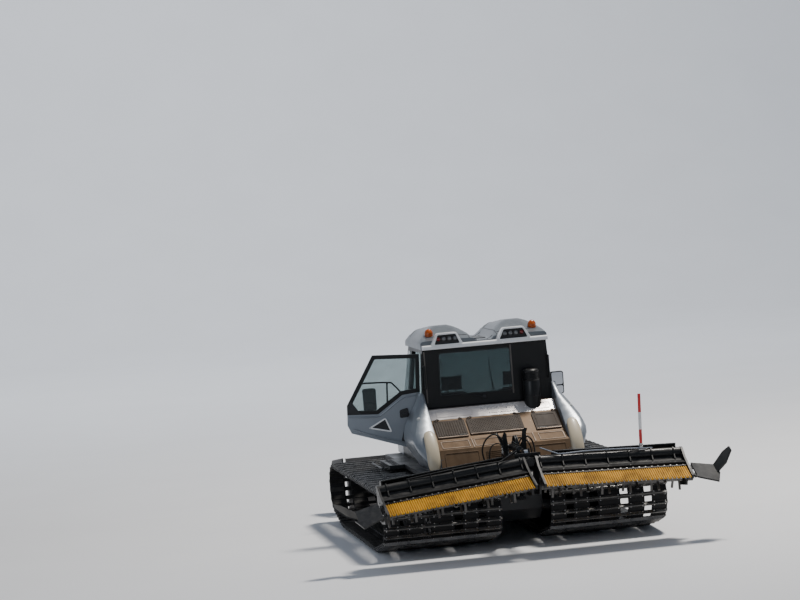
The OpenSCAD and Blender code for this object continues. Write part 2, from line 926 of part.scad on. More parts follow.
module droop(side) {
    angle = side > 0 ? -droop_left : droop_right;
    translate([0, 0, flex_z])
        rotate([angle, 0, 0])
            translate([0, 0, -flex_z])
                on_side(side)
                    children();
}

// Frame of the comb: x runs up the comb from its lower edge, z stands off it
module in_comb() {
    translate([comb_top[0], 0, comb_top[1]])
        rotate([0, -comb_slope, 0])
            translate([-comb_len, 0, 0])
                children();
}

module housing(side) {
    color([0.06, 0.06, 0.065])
        droop(side)
            difference() {
                housing_body(side > 0 ? -85 : 15);
                bar_x(0, flex_z, flex_r + 0.05, beam_x - 200, beam_x + 200);
                for (y = [half_gap - 10, half_end - rib_t - 10])
                    bar_y(rotor_x, rotor_z, shaft_r + 0.05, y, y + rib_t + 20);
            }
}

module housing_body(knuckle_x) {
    slab_y(half_gap + 6, half_end - 6)
        difference() {
            union() {
                translate([rotor_x, rotor_z])
                    circle(r = cover_r + cover_t);
                polygon([[rotor_x - 100, rotor_z + 200], [rotor_x + 130, rotor_z + 200], [beam_x + 40, flex_z - 40],
                    [beam_x - 60, flex_z - 40]]);
                polygon([[rotor_x - 60, rotor_z + 245], comb_point(comb_len - 5, 58), comb_point(comb_len - 5, comb_t + 4),
                    [rotor_x - 150, rotor_z + 200]]);
            }
            translate([rotor_x, rotor_z])
                circle(r = cover_r);
            translate([rotor_x - 500, rotor_z - 700])
                square([1000, 700]);
        }
    bar_y(beam_x, flex_z, 76, half_gap + 10, half_end - 20);
    slab_y(guard_in, half_end - 80)
        guard_line(cover_t);
    for (y = [guard_in, (guard_in + half_end) / 2, half_end - 80 - 20])
        slab_y(y, y + 20)
            guard_line(guard_r);
    for (y = [half_gap, half_end - rib_t])
        slab_y(y, y + rib_t)
            end_plate();
    in_comb()
        for (x = [50, comb_len - 90])
            translate([0, half_end - rib_t, 0])
                wing_lug(x);
    translate([beam_x + knuckle_x, 0, flex_z])
        rotate([0, 90, 0])
            cylinder(r = knuckle_r, h = 70);
    translate([beam_x + knuckle_x + 3, 0, flex_z - 45])
        cube([64, half_gap + 20, 90]);
}

// Rounded guard in front of the main tube: a strip of a circle, of a given thickness, clear of the lift arm
guard_in = 360;
guard_r = 165;
module guard_line(t) {
    intersection() {
        difference() {
            translate([beam_x + 60, flex_z - 30])
                circle(r = guard_r);
            translate([beam_x + 60, flex_z - 30])
                circle(r = guard_r - t);
        }
        translate([beam_x + pole_r + 12, flex_z - 110])
            square([400, 400]);
    }
}

// A point of the comb's frame in x and z of the machine
function comb_point(x, z) = [comb_top[0] + (x - comb_len) * cos(comb_slope) - z * sin(comb_slope),
    comb_top[1] + (x - comb_len) * sin(comb_slope) + z * cos(comb_slope)];

module end_plate() {
    polygon([comb_point(0, -18), comb_point(comb_len - 40, -18), [rotor_x - 200, rotor_z - 120],
        [rotor_x + 150, rotor_z - 150], [rotor_x + 235, rotor_z + 20], [rotor_x + 200, rotor_z + 140],
        [beam_x + 60, flex_z - 30], [beam_x + 30, flex_z + 80], [beam_x - 50, flex_z + 80],
        [rotor_x - 150, rotor_z + 280], comb_point(comb_len, 64), comb_point(0, 44)]);
}

module wing_lug(x) {
    translate([x, rib_t + 24, 10])
        rotate([0, 90, 0])
            cylinder(r = 20, h = 34);
    translate([x, rib_t - 5, -8])
        cube([34, 28, 36]);
    translate([x - 60, rib_t + 24, 10])
        rotate([0, 90, 0])
            cylinder(r = wing_pin_r, h = 94);
}

module comb(side) {
    pitch = slat_w + slat_gap;
    room = half_len - 2 * rib_t - 2 * seat_gap;
    count = floor((room + slat_gap) / pitch);
    start = half_gap + rib_t + seat_gap + (room - count * pitch + slat_gap) / 2;
    color([0.93, 0.66, 0.04])
        droop(side)
            in_comb()
                union() {
                    translate([comb_len - 70, half_gap + rib_t + seat_gap, 0])
                        cube([70, room, comb_t]);
                    for (n = [0 : count - 1])
                        translate([0, start + n * pitch, 0])
                            cube([comb_len - 60, slat_w, comb_t]);
                }
}

module rotor(side) {
    rotor_len = half_len - 2 * rib_t - 2 * run_gap;
    color([0.17, 0.17, 0.18])
        droop(side)
            translate([rotor_x, half_gap + rib_t + run_gap, rotor_z])
                rotate([-90, 0, 0]) {
                    cylinder(r = 80, h = rotor_len);
                    translate([0, 0, -run_gap - rib_t + 2])
                        cylinder(r = shaft_r, h = rotor_len + 2 * run_gap + 2 * rib_t - 4);
                    for (n = [0 : rotor_teeth - 1])
                        for (start = [0, 180])
                            translate([0, 0, 40 + n * (rotor_len - 80) / (rotor_teeth - 1)])
                                rotate([0, 0, start + n * 40])
                                    translate([60, -12, -15])
                                        cube([rotor_r - 60, 24, 30]);
                }
}

// Side wings that fold about a pin along the comb's slope: a hanging flap with a fin on its outer edge
fin_t = 22;
module wing(side) {
    down = side > 0 ? wing_left_down : wing_right_down;
    rise = side > 0 ? fin_left_up : fin_right_up;
    color([0.07, 0.07, 0.075])
        droop(side)
            in_comb()
                translate([0, wing_y, 10])
                    rotate([-down, 0, 0])
                        difference() {
                            union() {
                                slab_z(-13, 13)
                                    polygon([[0, 30], [comb_len + 30, 30], [comb_len + 50, flap_w],
                                        [comb_len - 180, flap_w + 20], [-70, flap_w - 60]]);
                                translate([0, flap_w - 25, 0])
                                    rotate([rise + down, 0, 0])
                                        slab_z(-fin_t / 2, fin_t / 2)
                                            polygon([[comb_len - 180, 0], [comb_len + 40, 0],
                                                [comb_len + 70, fin_len * 0.65], [comb_len + 20, fin_len],
                                                [comb_len - 90, fin_len], [comb_len - 200, fin_len * 0.55]]);
                                for (x = [50, comb_len - 90]) {
                                    translate([x - 40, 0, 0])
                                        rotate([0, 90, 0])
                                            cylinder(r = 20, h = 34);
                                    translate([x - 40, 10, -10])
                                        cube([34, 30, 20]);
                                }
                            }
                            translate([-50, 0, 0])
                                rotate([0, 90, 0])
                                    cylinder(r = wing_pin_r + 0.05, h = comb_len + 200);
                        }
}

// Marker pole on the right half's main tube
pole_y = -1640;
pole_r = 22;
pole_h = 800;
module marker_pole() {
    color([0.85, 0.1, 0.1])
        translate([0, 0, flex_z])
            rotate([droop_right, 0, 0])
                translate([beam_x, pole_y, 76 + seat_gap])
                    cylinder(r = pole_r, h = pole_h);
}

// Hose loops on the valve block, each held at both ends
hose_r = 14;
module hoses() {
    color([0.04, 0.04, 0.04])
        for (y = [-94, -68, 68, 94])
            translate([-1700, y, block_top + seat_gap]) {
                cylinder(r = hose_r, h = 140);
                translate([-110, 0, 140])
                    rotate([90, 0, 0])
                        rotate_extrude(angle = 180)
                            translate([110, 0])
                                circle(r = hose_r);
                translate([-220, 0, 0])
                    cylinder(r = hose_r, h = 140);
            }
}

// A cylinder between two pins: barrel and rod are drawn along x from the barrel's pin
module on_line(from, to) {
    d = to - from;
    translate([from[0], 0, from[1]])
        rotate([0, -atan2(d[1], d[0]), 0])
            children();
}

module barrel(len) {
    difference() {
        union() {
            bar_y(0, 0, 38, -cyl_half, cyl_half);
            bar_x(0, 0, cyl_half - 2, 20, 80);
            bar_x(0, 0, barrel_r, 60, len);
        }
        bar_y(0, 0, 20.05, -cyl_half - 30, cyl_half + 30);
        bar_x(0, 0, 24.05, len - 240, len + 10);
    }
}

module rod(start, len) {
    bar_x(0, 0, 24, start, len - 20);
    bar_y(len, 0, 40, -cyl_half, cyl_half);
}

lift_len = 640;
module lift_barrel() {
    color([0.12, 0.12, 0.13])
        on_line(barrel_pin, rod_pin)
            barrel(lift_len);
}

module lift_rod() {
    color([0.8, 0.8, 0.82])
        on_line(barrel_pin, rod_pin)
            rod(lift_len - 150, norm(rod_pin - barrel_pin));
}

// Blade and its push frame
blade_back = 3150;
blade_z = 30;
blade_mid = blade_z + blade_h * 0.48;
yaw_x = blade_back - 130;
yaw_r = 30;
head_pin = [yaw_x - 90, 640];
module push_frame() {
    color([0.16, 0.16, 0.17])
        difference() {
            union() {
                for (side = [-1, 1])
                    on_side(side) {
                        slab_y(push_y, push_y + push_w)
                            polygon([[push_pin[0] - 42, push_pin[1] - 40], [yaw_x - 60, push_pin[1] - 50],
                                [yaw_x - 60, push_pin[1] + 50], [push_pin[0] - 42, push_pin[1] + 40]]);
                        slab_y(cyl_half + run_gap, cyl_half + run_gap + lug_t)
                            polygon([[yaw_x - 140, push_pin[1] + 45], [yaw_x - 66, push_pin[1] + 45],
                                [head_pin[0] + 30, head_pin[1] + 40], [head_pin[0] - 30, head_pin[1] + 40]]);
                    }
                slab_x(yaw_x - 140, yaw_x - 60)
                    translate([-push_y - push_w, push_pin[1] - 50])
                        square([2 * (push_y + push_w), 100]);
                slab_z(push_pin[1] - 50, push_pin[1] + 50)
                    union() {
                        translate([yaw_x - 70, -60])
                            square([70, 120]);
                        translate([yaw_x, 0])
                            circle(r = 60);
                    }
            }
            bar_y(push_pin[0], push_pin[1], push_pin_r + 0.05, -400, 400);
            translate([yaw_x, 0, push_pin[1] - 100])
                cylinder(r = yaw_r + 0.05, h = 200);
        }
}

module blade_curve() {
    intersection() {
        difference() {
            translate([blade_back + blade_r, blade_mid])
                circle(r = blade_r + blade_t, $fn = 360);
            translate([blade_back + blade_r, blade_mid])
                circle(r = blade_r, $fn = 360);
        }
        translate([blade_back - 100, blade_z])
            square([600, blade_h]);
    }
}

module blade_cheek() {
    intersection() {
        translate([blade_back + blade_r, blade_mid])
            circle(r = blade_r + blade_t, $fn = 360);
        translate([blade_back - 100, blade_z])
            square([100 + ear_x - 30 - blade_back, blade_h]);
    }
}

ear_x = blade_back + 190;
ear_pin_r = 12;
ear_y = blade_w / 2 + 26;
module blade() {
    color([0.1, 0.1, 0.11]) {
        slab_y(-blade_w / 2 + 10, blade_w / 2 - 10)
            blade_curve();
        for (side = [-1, 1])
            on_side(side) {
                slab_y(blade_w / 2 - 20, blade_w / 2)
                    blade_cheek();
                for (z = [blade_z + 150, blade_z + blade_h - 250])
                    slab_z(z, z + 40)
                        union() {
                            polygon([[ear_x - 100, blade_w / 2 - 10], [ear_x - 40, blade_w / 2 - 10],
                                [ear_x + 15, ear_y - 14], [ear_x - 14, ear_y + 14]]);
                            translate([ear_x, ear_y])
                                circle(r = 22);
                        }
                for (z = [blade_z + 60, blade_z + blade_h - 340])
                    translate([ear_x, ear_y, z])
                        cylinder(r = ear_pin_r, h = 180);
            }
        for (z = [push_pin[1] - 58 - 40, push_pin[1] + 58])
            slab_z(z, z + 40)
                union() {
                    translate([yaw_x, -70])
                        square([blade_back - 8 - yaw_x, 140]);
                    translate([yaw_x, 0])
                        circle(r = 60);
                }
        translate([yaw_x, 0, push_pin[1] - 90])
            cylinder(r = yaw_r, h = 180);
    }
}

module ear(side) {
    color([0.1, 0.1, 0.11])
        on_side(side)
            translate([ear_x, ear_y, 0])
                rotate([0, 0, -ear_fold])
                    difference() {
                        union() {
                            slab_x(-12, 12)
                                polygon([[30, blade_z], [ear_len - 60, blade_z], [ear_len, blade_z + 80],
                                    [ear_len, blade_z + blade_h - 240], [ear_len - 120, blade_z + blade_h - 60],
                                    [30, blade_z + blade_h]]);
                            for (z = [blade_z + 70, blade_z + blade_h - 330])
                                slab_z(z, z + 72)
                                    union() {
                                        circle(r = 22);
                                        translate([-10, 0])
                                            square([20, 40]);
                                    }
                        }
                        translate([0, 0, blade_z - 10])
                            cylinder(r = ear_pin_r + 0.05, h = blade_h + 20);
                    }
}

blade_len = norm(head_pin - blade_pin);
module blade_barrel() {
    color([0.12, 0.12, 0.13])
        on_line(blade_pin, head_pin)
            barrel(blade_len * 0.52);
}

module blade_rod() {
    color([0.8, 0.8, 0.82])
        on_line(blade_pin, head_pin)
            rod(blade_len * 0.42, blade_len);
}

hull_tub();  // hull
wheels();  // wheels_left
on_side(-1) wheels();  // wheels_right
track();  // track_left
on_side(-1) track();  // track_right
cab_shell();
roof();
spoiler();
work_lamps();
beacon_bases();
beacons();
windscreen();
rear_glass();
side_glass();
seats();
console();
engine_block();
deck();
pod(1);  // pod_left
pod(-1);  // pod_right
nose();
head_lamps();
mirrors();
steps();
stack();
grab_rails();
carrier();
lid(0);  // lid_left
lid(1);  // lid_middle
lid(2);  // lid_right
door_left();
door_left_frame();
door_left_glass();
door_right();
door_right_frame();
door_right_glass();
lift_arm();
housing(1);  // housing_left
housing(-1);  // housing_right
comb(1);  // comb_left
comb(-1);  // comb_right
rotor(1);  // rotor_left
rotor(-1);  // rotor_right
wing(1);  // wing_left
wing(-1);  // wing_right
marker_pole();
hoses();
lift_barrel();
lift_rod();
push_frame();
blade();
ear(1);  // ear_left
ear(-1);  // ear_right
blade_barrel();
blade_rod();
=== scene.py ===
import bpy
import bmesh
import json
from math import atan2, cos, degrees, exp, hypot, log1p, pi, radians, sin, sqrt
from mathutils import Matrix, Vector


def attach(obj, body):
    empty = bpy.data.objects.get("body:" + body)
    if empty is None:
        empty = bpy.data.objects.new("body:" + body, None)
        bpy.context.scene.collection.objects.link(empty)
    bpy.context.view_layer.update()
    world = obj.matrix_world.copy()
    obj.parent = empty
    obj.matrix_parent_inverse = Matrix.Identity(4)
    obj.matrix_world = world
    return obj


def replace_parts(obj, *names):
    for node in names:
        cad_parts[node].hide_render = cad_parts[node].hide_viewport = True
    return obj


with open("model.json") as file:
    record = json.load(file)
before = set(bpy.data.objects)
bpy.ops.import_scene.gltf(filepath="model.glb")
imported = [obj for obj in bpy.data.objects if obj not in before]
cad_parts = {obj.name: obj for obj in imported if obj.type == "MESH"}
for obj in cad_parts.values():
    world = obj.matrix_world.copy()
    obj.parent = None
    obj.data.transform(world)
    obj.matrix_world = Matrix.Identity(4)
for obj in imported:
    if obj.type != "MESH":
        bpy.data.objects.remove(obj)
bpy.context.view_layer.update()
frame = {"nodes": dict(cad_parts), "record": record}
nodes = frame["nodes"]

# Sizes repeated from the part's source, in metres and degrees
CAB_HALF, CAB_REAR, ROOF_Z, SIDE_Z = 1.045, -0.42, 2.83, 1.12
LEAN, DOOR_X, DOOR_OPEN, HINGE_OUT = 3, -0.25, 84, 0.018
LEDGE, LIP, LID_FOOT = (-0.55, 1.93), (-0.75, 1.76), (-1.17, 1.505)
STEP_FOOT, TAIL = (-1.43, 1.39), (-1.58, 1.1)
LIDS = {"lid_left": (0.47, 0.94, 0.44), "lid_middle": (-0.39, 0.44, 0.41), "lid_right": (-0.95, -0.56, 0.44)}
CARRIER_X, CARRIER_TOP = -1.957, 1.2905
FLEX_Z, BEAM_X, ROTOR_X, ROTOR_Z, COVER_R = 1.29, -3.12, -3.18, 0.96, 0.262
DROOP = {1: -5.5, -1: 2}
COMB_TOP, COMB_LEN, COMB_SLOPE = (-3.405, 1.13), 0.365, 24
HALF_GAP, HALF_END = 0.07, 2.24
TRACK_IN, TRACK_OUT = 0.36, 2.1
WHEEL_IN, WHEEL_OUT, AXLE_IN, AXLE_LEN = 1.1, 1.36, 0.315, 1.105
ROAD_X, WHEEL_Z, END_X, END_Z, ROAD_R = 1.58, 0.42, 2.28, 0.565, 0.3405
SIDES = ((1, "left"), (-1, "right"))
MIRROR = Matrix.Diagonal((1, -1, 1, 1))
X, Y, Z, BACK = (1, 0, 0), (0, 1, 0), (0, 0, 1), (-1, 0, 0)


def shift(x, y, z):
    return Matrix.Translation((x, y, z))


def turn(degrees, axis):
    return Matrix.Rotation(radians(degrees), 4, axis)


def side(s):
    return Matrix.Identity(4) if s > 0 else MIRROR


def sloped(foot, head, at=None):
    """Frame with x up a slope of the machine's x and z, at its foot or a given point, and its length."""
    dx, dz = head[0] - foot[0], head[1] - foot[1]
    x, z = at or foot
    return shift(x, 0, z) @ Matrix.Rotation(-atan2(dz, dx), 4, "Y"), hypot(dx, dz)


# Finishes
mats = {}


class Finish:
    """Builds one node material in the row frame's coordinates."""

    def __init__(self, name):
        self.mat = mats[name] = bpy.data.materials.new(name)
        self.mat.use_nodes = True
        self.tree = self.mat.node_tree
        self.bsdf = self.tree.nodes["Principled BSDF"]
        self.co = self.node("TexCoord").outputs["Object"]

    def feed(self, node, values):
        """Gives a node's inputs numbers, colours or other nodes' outputs."""
        for key, v in values.items():
            socket = node.inputs[key]
            if isinstance(v, bpy.types.NodeSocket):
                self.tree.links.new(v, socket)
            else:
                socket.default_value = (*v, 1) if socket.type == "RGBA" else v

    def node(self, kind, values=None, **settings):
        n = self.tree.nodes.new("ShaderNode" + kind)
        for key, v in settings.items():
            setattr(n, key, v)
        self.feed(n, values or {})
        return n

    def noise(self, scale, detail=4, rough=0.55, stretch=(1, 1, 1)):
        spot = self.node("Mapping", {"Scale": stretch, "Vector": self.co}).outputs["Vector"]
        values = {"Scale": scale, "Detail": detail, "Roughness": rough, "Vector": spot}
        return self.node("TexNoise", values).outputs["Fac"]

    def span(self, value, a, b, c=0, d=1):
        limits = {"Value": value, "From Min": a, "From Max": b, "To Min": c, "To Max": d}
        return self.node("MapRange", limits).outputs["Result"]

    def math(self, op, a, b):
        return self.node("Math", {0: a, 1: b}, operation=op).outputs[0]

    def times(self, first, *rest):
        for v in rest:
            first = self.math("MULTIPLY", first, v)
        return first

    def mix(self, factor, a, b):
        return self.node("Mix", {0: factor, 6: a, 7: b}, data_type="RGBA").outputs[2]

    def edges(self, radius=0.006):
        bevel = self.node("Bevel", {"Radius": radius}, samples=4).outputs[0]
        flat = self.node("NewGeometry").outputs["Normal"]
        dot = self.node("VectorMath", {0: bevel, 1: flat}, operation="DOT_PRODUCT")
        return self.span(dot.outputs["Value"], 0.97, 0.6)

    def upward(self):
        normal = self.node("NewGeometry").outputs["Normal"]
        return self.span(self.node("SeparateXYZ", {0: normal}).outputs["Z"], 0.1, 0.9)

    def set(self, height, strength, values, distance=0.002):
        """The bump's height and strength, and the shader's values."""
        if height is not None:
            bump = self.node("Bump", {"Strength": strength, "Distance": distance, "Height": height})
            self.feed(self.bsdf, {"Normal": bump.outputs[0]})
        self.feed(self.bsdf, values)
        return self.mat


def tint(c, k):
    return tuple(min(1.0, v * k) for v in c)


def paint(name, base, rough, metal=0, vary=0.2, scale=2.2, grain=140, bump=0.12, wear=None, wear_at=0.5,
          dust=None, dust_at=0.15, stretch=(1, 1, 1), coat=0, spread=0.12, level=None):
    """Paint, metal or plastic with cloudy colour, worn edges, dust on what faces up, and a fine grain."""
    f = Finish(name)
    cloud, fine = f.noise(scale, 5, 0.6, stretch), f.noise(grain, 3, 0.6, stretch)
    colour = f.mix(f.span(cloud, 0.3, 0.7), tint(base, 1 - vary), tint(base, 1 + vary))
    colour = f.mix(f.span(fine, 0.35, 0.7, 0, 0.35), colour, tint(base, 1 - vary * 1.4))
    rough_out = f.span(cloud, 0.3, 0.7, max(0.02, rough - spread), min(1.0, rough + spread))
    if dust:
        where = f.times(f.upward(), f.span(f.noise(scale * 6, 6, 0.7), 0.42, 0.72), dust_at)
        colour = f.mix(where, colour, dust)
        rough_out = f.math("ADD", rough_out, f.times(where, 0.4))
    if wear:
        rubbed = f.span(f.noise(scale * 9, 5, 0.65), 0.36, 0.62)
        colour = f.mix(f.times(f.edges(), rubbed, wear_at), colour, wear)
    values = {"Base Color": colour, "Metallic": metal, "Roughness": rough_out}
    if coat:
        values |= {"Coat Weight": coat, "Coat Roughness": 0.12}
    if level:
        values["Specular IOR Level"] = level
    return f.set(fine, bump, values)


def lens(name, colour, ribs, clear, glow=0):
    """Ribbed plastic of a lamp."""
    f = Finish(name)
    wave = f.node("TexWave", {"Scale": ribs / 6.3, "Vector": f.co}, bands_direction="Y").outputs["Fac"]
    cloud = f.noise(30, 3)
    values = {"Base Color": f.mix(f.span(cloud, 0.3, 0.7, 0, 0.35), colour, tint(colour, 0.6)),
              "Roughness": f.span(cloud, 0.3, 0.7, 0.08, 0.2), "Transmission Weight": clear,
              "Coat Weight": 0.4}
    if glow:
        values |= {"Emission Color": colour, "Emission Strength": glow}
    f.set(wave, 0.35, values)


def glass(name, colour):
    f = Finish(name)
    smear = f.noise(3, 5, 0.65, (1, 1, 2.5))
    f.set(None, 0, {"Base Color": f.mix(f.span(smear, 0.35, 0.75), colour, tint(colour, 0.82)),
                    "Roughness": f.span(smear, 0.35, 0.8, 0, 0.012), "Transmission Weight": 0.93,
                    "IOR": 1.45})


def woven(name, colour):
    f = Finish(name)
    weave = f.times(f.noise(420, 2, 0.5, (1, 0.12, 1)), f.noise(420, 2, 0.5, (0.12, 1, 1)))
    shade = f.mix(f.span(f.noise(6, 4), 0.3, 0.7), tint(colour, 0.75), tint(colour, 1.35))
    f.set(weave, 0.6, {"Base Color": shade, "Roughness": f.span(weave, 0.1, 0.5, 0.95, 0.75),
                       "Sheen Weight": 0.35}, 0.0015)


def comb_finish():
    f = Finish("yellow_comb")
    dirt = f.noise(2.6, 6, 0.7)
    stain = f.span(f.noise(22, 5, 0.7, (0.4, 2, 0.4)), 0.35, 0.7)
    colour = f.mix(stain, (0.66, 0.34, 0.001), (0.48, 0.22, 0.001))
    colour = f.mix(f.span(dirt, 0.44, 0.68, 0, 0.85), colour, (0.12, 0.05, 0.004))
    colour = f.mix(f.times(f.edges(0.004), 0.4), colour, (0.85, 0.52, 0.06))
    f.set(f.noise(160, 3), 0.25, {"Base Color": colour, "Roughness": f.span(dirt, 0.3, 0.7, 0.55, 0.75),
                                  "Specular IOR Level": 0.25})


def pole_finish(white_from, white_to):
    """Red paint with one white field between two heights."""
    f = Finish("pole_red")
    height = f.node("SeparateXYZ", {0: f.co}).outputs["Z"]
    white = f.times(f.math("GREATER_THAN", height, white_from), f.math("LESS_THAN", height, white_to))
    scuff = f.noise(40, 5, 0.65)
    colour = f.mix(white, (0.6, 0.018, 0.02), (0.78, 0.78, 0.78))
    colour = f.mix(f.span(scuff, 0.55, 0.8, 0, 0.5), colour, (0.25, 0.2, 0.19))
    f.set(scuff, 0.1, {"Base Color": colour, "Roughness": f.span(scuff, 0.3, 0.7, 0.28, 0.5)})


DUST, ACROSS_GRAIN = (0.32, 0.31, 0.3), (0.5, 2, 0.5)
paint("dark_frame", (0.02, 0.021, 0.023), 0.42, 0.2, wear=(0.09, 0.088, 0.085), dust=(0.2, 0.2, 0.2))
paint("track_rubber", (0.009, 0.009, 0.01), 0.72, bump=0.5, grain=70, dust=(0.12, 0.12, 0.12), dust_at=0.12,
      level=0.3)
paint("black_body", (0.006, 0.0065, 0.007), 0.42, bump=0.05, coat=0.1, wear=(0.06, 0.06, 0.06), dust=DUST,
      dust_at=0.1, level=0.35)
paint("silver_body", (0.25, 0.28, 0.315), 0.34, 0.35, vary=0.08, bump=0.04, coat=0.35,
      dust=(0.55, 0.55, 0.55), dust_at=0.2, spread=0.06)
# Partly a painted highlight: the silver trim's colour is raised to near white for the sun's glare on the rear
# bar
paint("bright_trim", (0.93, 0.94, 0.95), 0.24, 0.12, vary=0.06, bump=0.05, coat=0.3, spread=0.06)
paint("dark_plastic", (0.022, 0.023, 0.025), 0.58, bump=0.45, grain=240)
paint("bronze_deck", (0.128, 0.08, 0.044), 0.46, 0.32, vary=0.22, scale=1.6, stretch=ACROSS_GRAIN,
      wear=(0.55, 0.46, 0.38), wear_at=0.8, dust=(0.3, 0.24, 0.19), level=0.25)
paint("worn_steel", (0.13, 0.125, 0.12), 0.45, 0.7, vary=0.35, scale=6, bump=0.35, grain=60,
      wear=(0.45, 0.43, 0.41), wear_at=0.8)
paint("hose_rubber", (0.012, 0.012, 0.013), 0.48, bump=0.3, grain=300)
paint("chrome_rod", (0.82, 0.83, 0.85), 0.12, 1, vary=0.05, bump=0.02, spread=0.05)
paint("blade_paint", (0.028, 0.028, 0.031), 0.4, 0.2, bump=0.1, wear=(0.3, 0.28, 0.26), wear_at=0.9, coat=0.2,
      dust=DUST, dust_at=0.2)
# Painted sunlight: this warm cream stands for the body's silver paint where the sun catches the rounded rear
# corners
paint("painted_sunlit_strip", (0.58, 0.5, 0.36), 0.4, vary=0.06, bump=0.06, coat=0.2, dust=(0.6, 0.55, 0.47),
      dust_at=0.2)
paint("bright_metal", (0.52, 0.51, 0.5), 0.3, 0.9, vary=0.3, scale=7, bump=0.2, grain=50)
paint("track_metal", (0.04, 0.039, 0.038), 0.45, 0.7, vary=0.5, scale=5, bump=0.3, grain=40,
      wear=(0.4, 0.38, 0.36))
paint("track_edge", (0.15, 0.147, 0.143), 0.32, 0.85, vary=0.4, scale=6, bump=0.2, grain=50,
      wear=(0.88, 0.86, 0.83), wear_at=1)
paint("lid_bronze", (0.046, 0.036, 0.029), 0.58, 0.08, vary=0.25, scale=2.4, stretch=ACROSS_GRAIN, bump=0.15,
      wear=(0.42, 0.35, 0.29), wear_at=0.8, dust=(0.24, 0.2, 0.17), level=0.15)
# Painted shade and reflection: the roof's silver paint is darkened to blue-grey for the shade and the dark
# surroundings it reflects
paint("painted_shade_roof", (0.105, 0.122, 0.14), 0.36, 0.3, vary=0.1, bump=0.04, coat=0.3, dust=(0.4, 0.41, 0.42),
      spread=0.06)
paint("lid_lip", (0.36, 0.28, 0.22), 0.34, 0.5, vary=0.15, bump=0.08, wear=(0.75, 0.68, 0.6))
# Painted highlight: the near-white, pinkish colour stands for the sun's glare off the rear slope plate
paint("painted_glare_plate", (0.96, 0.88, 0.84), 0.2, 0.55, vary=0.08, bump=0.06, wear=(0.85, 0.8, 0.74), coat=0.2)
paint("grey_strip", (0.13, 0.12, 0.11), 0.45, 0.3, vary=0.15, bump=0.15)
paint("mirror_face", (0.8, 0.83, 0.86), 0.05, 1, vary=0.03, bump=0, spread=0.03)
paint("screen_face", (0.01, 0.014, 0.018), 0.12, vary=0.1, bump=0, coat=0.6, spread=0.05)
lens("lamp_lens", (0.62, 0.65, 0.65), 90, 0.35)
lens("amber_lens", (0.52, 0.095, 0.004), 140, 0.25, 0.03)
lens("red_lens", (0.2, 0.008, 0.008), 140, 0.15)
lens("work_lens", (0.22, 0.23, 0.24), 120, 0.25)
glass("clear_glass", (0.36, 0.44, 0.44))
glass("rear_glass", (0.13, 0.165, 0.17))
woven("dark_fabric", (0.03, 0.03, 0.034))
comb_finish()
pole_finish(1.595, 1.843)

# Carried-over nodes take the finishes
slots = {n["node"]: n["material_slot"] for n in frame["record"]["subparts"]}
for name, obj in nodes.items():
    chosen = mats["rear_glass" if name == "rear_glass" else slots[name]]
    if not obj.material_slots:
        obj.data.materials.append(chosen)
    for s in obj.material_slots:
        s.material = chosen

# Mesh building
ACROSS = {"x": lambda p, t: (t, p[0], p[1]), "y": lambda p, t: (p[0], t, p[1]),
          "z": lambda p, t: (p[0], p[1], t)}


def place(name, data):
    obj = bpy.data.objects.new(name, data)
    bpy.context.scene.collection.objects.link(obj)
    return obj


def circle(centre, u, w, r, sides):
    """Points around a centre in the plane of two unit vectors."""
    angles = (2 * pi * k / sides for k in range(sides))
    return [centre + (u * cos(a) + w * sin(a)) * r for a in angles]


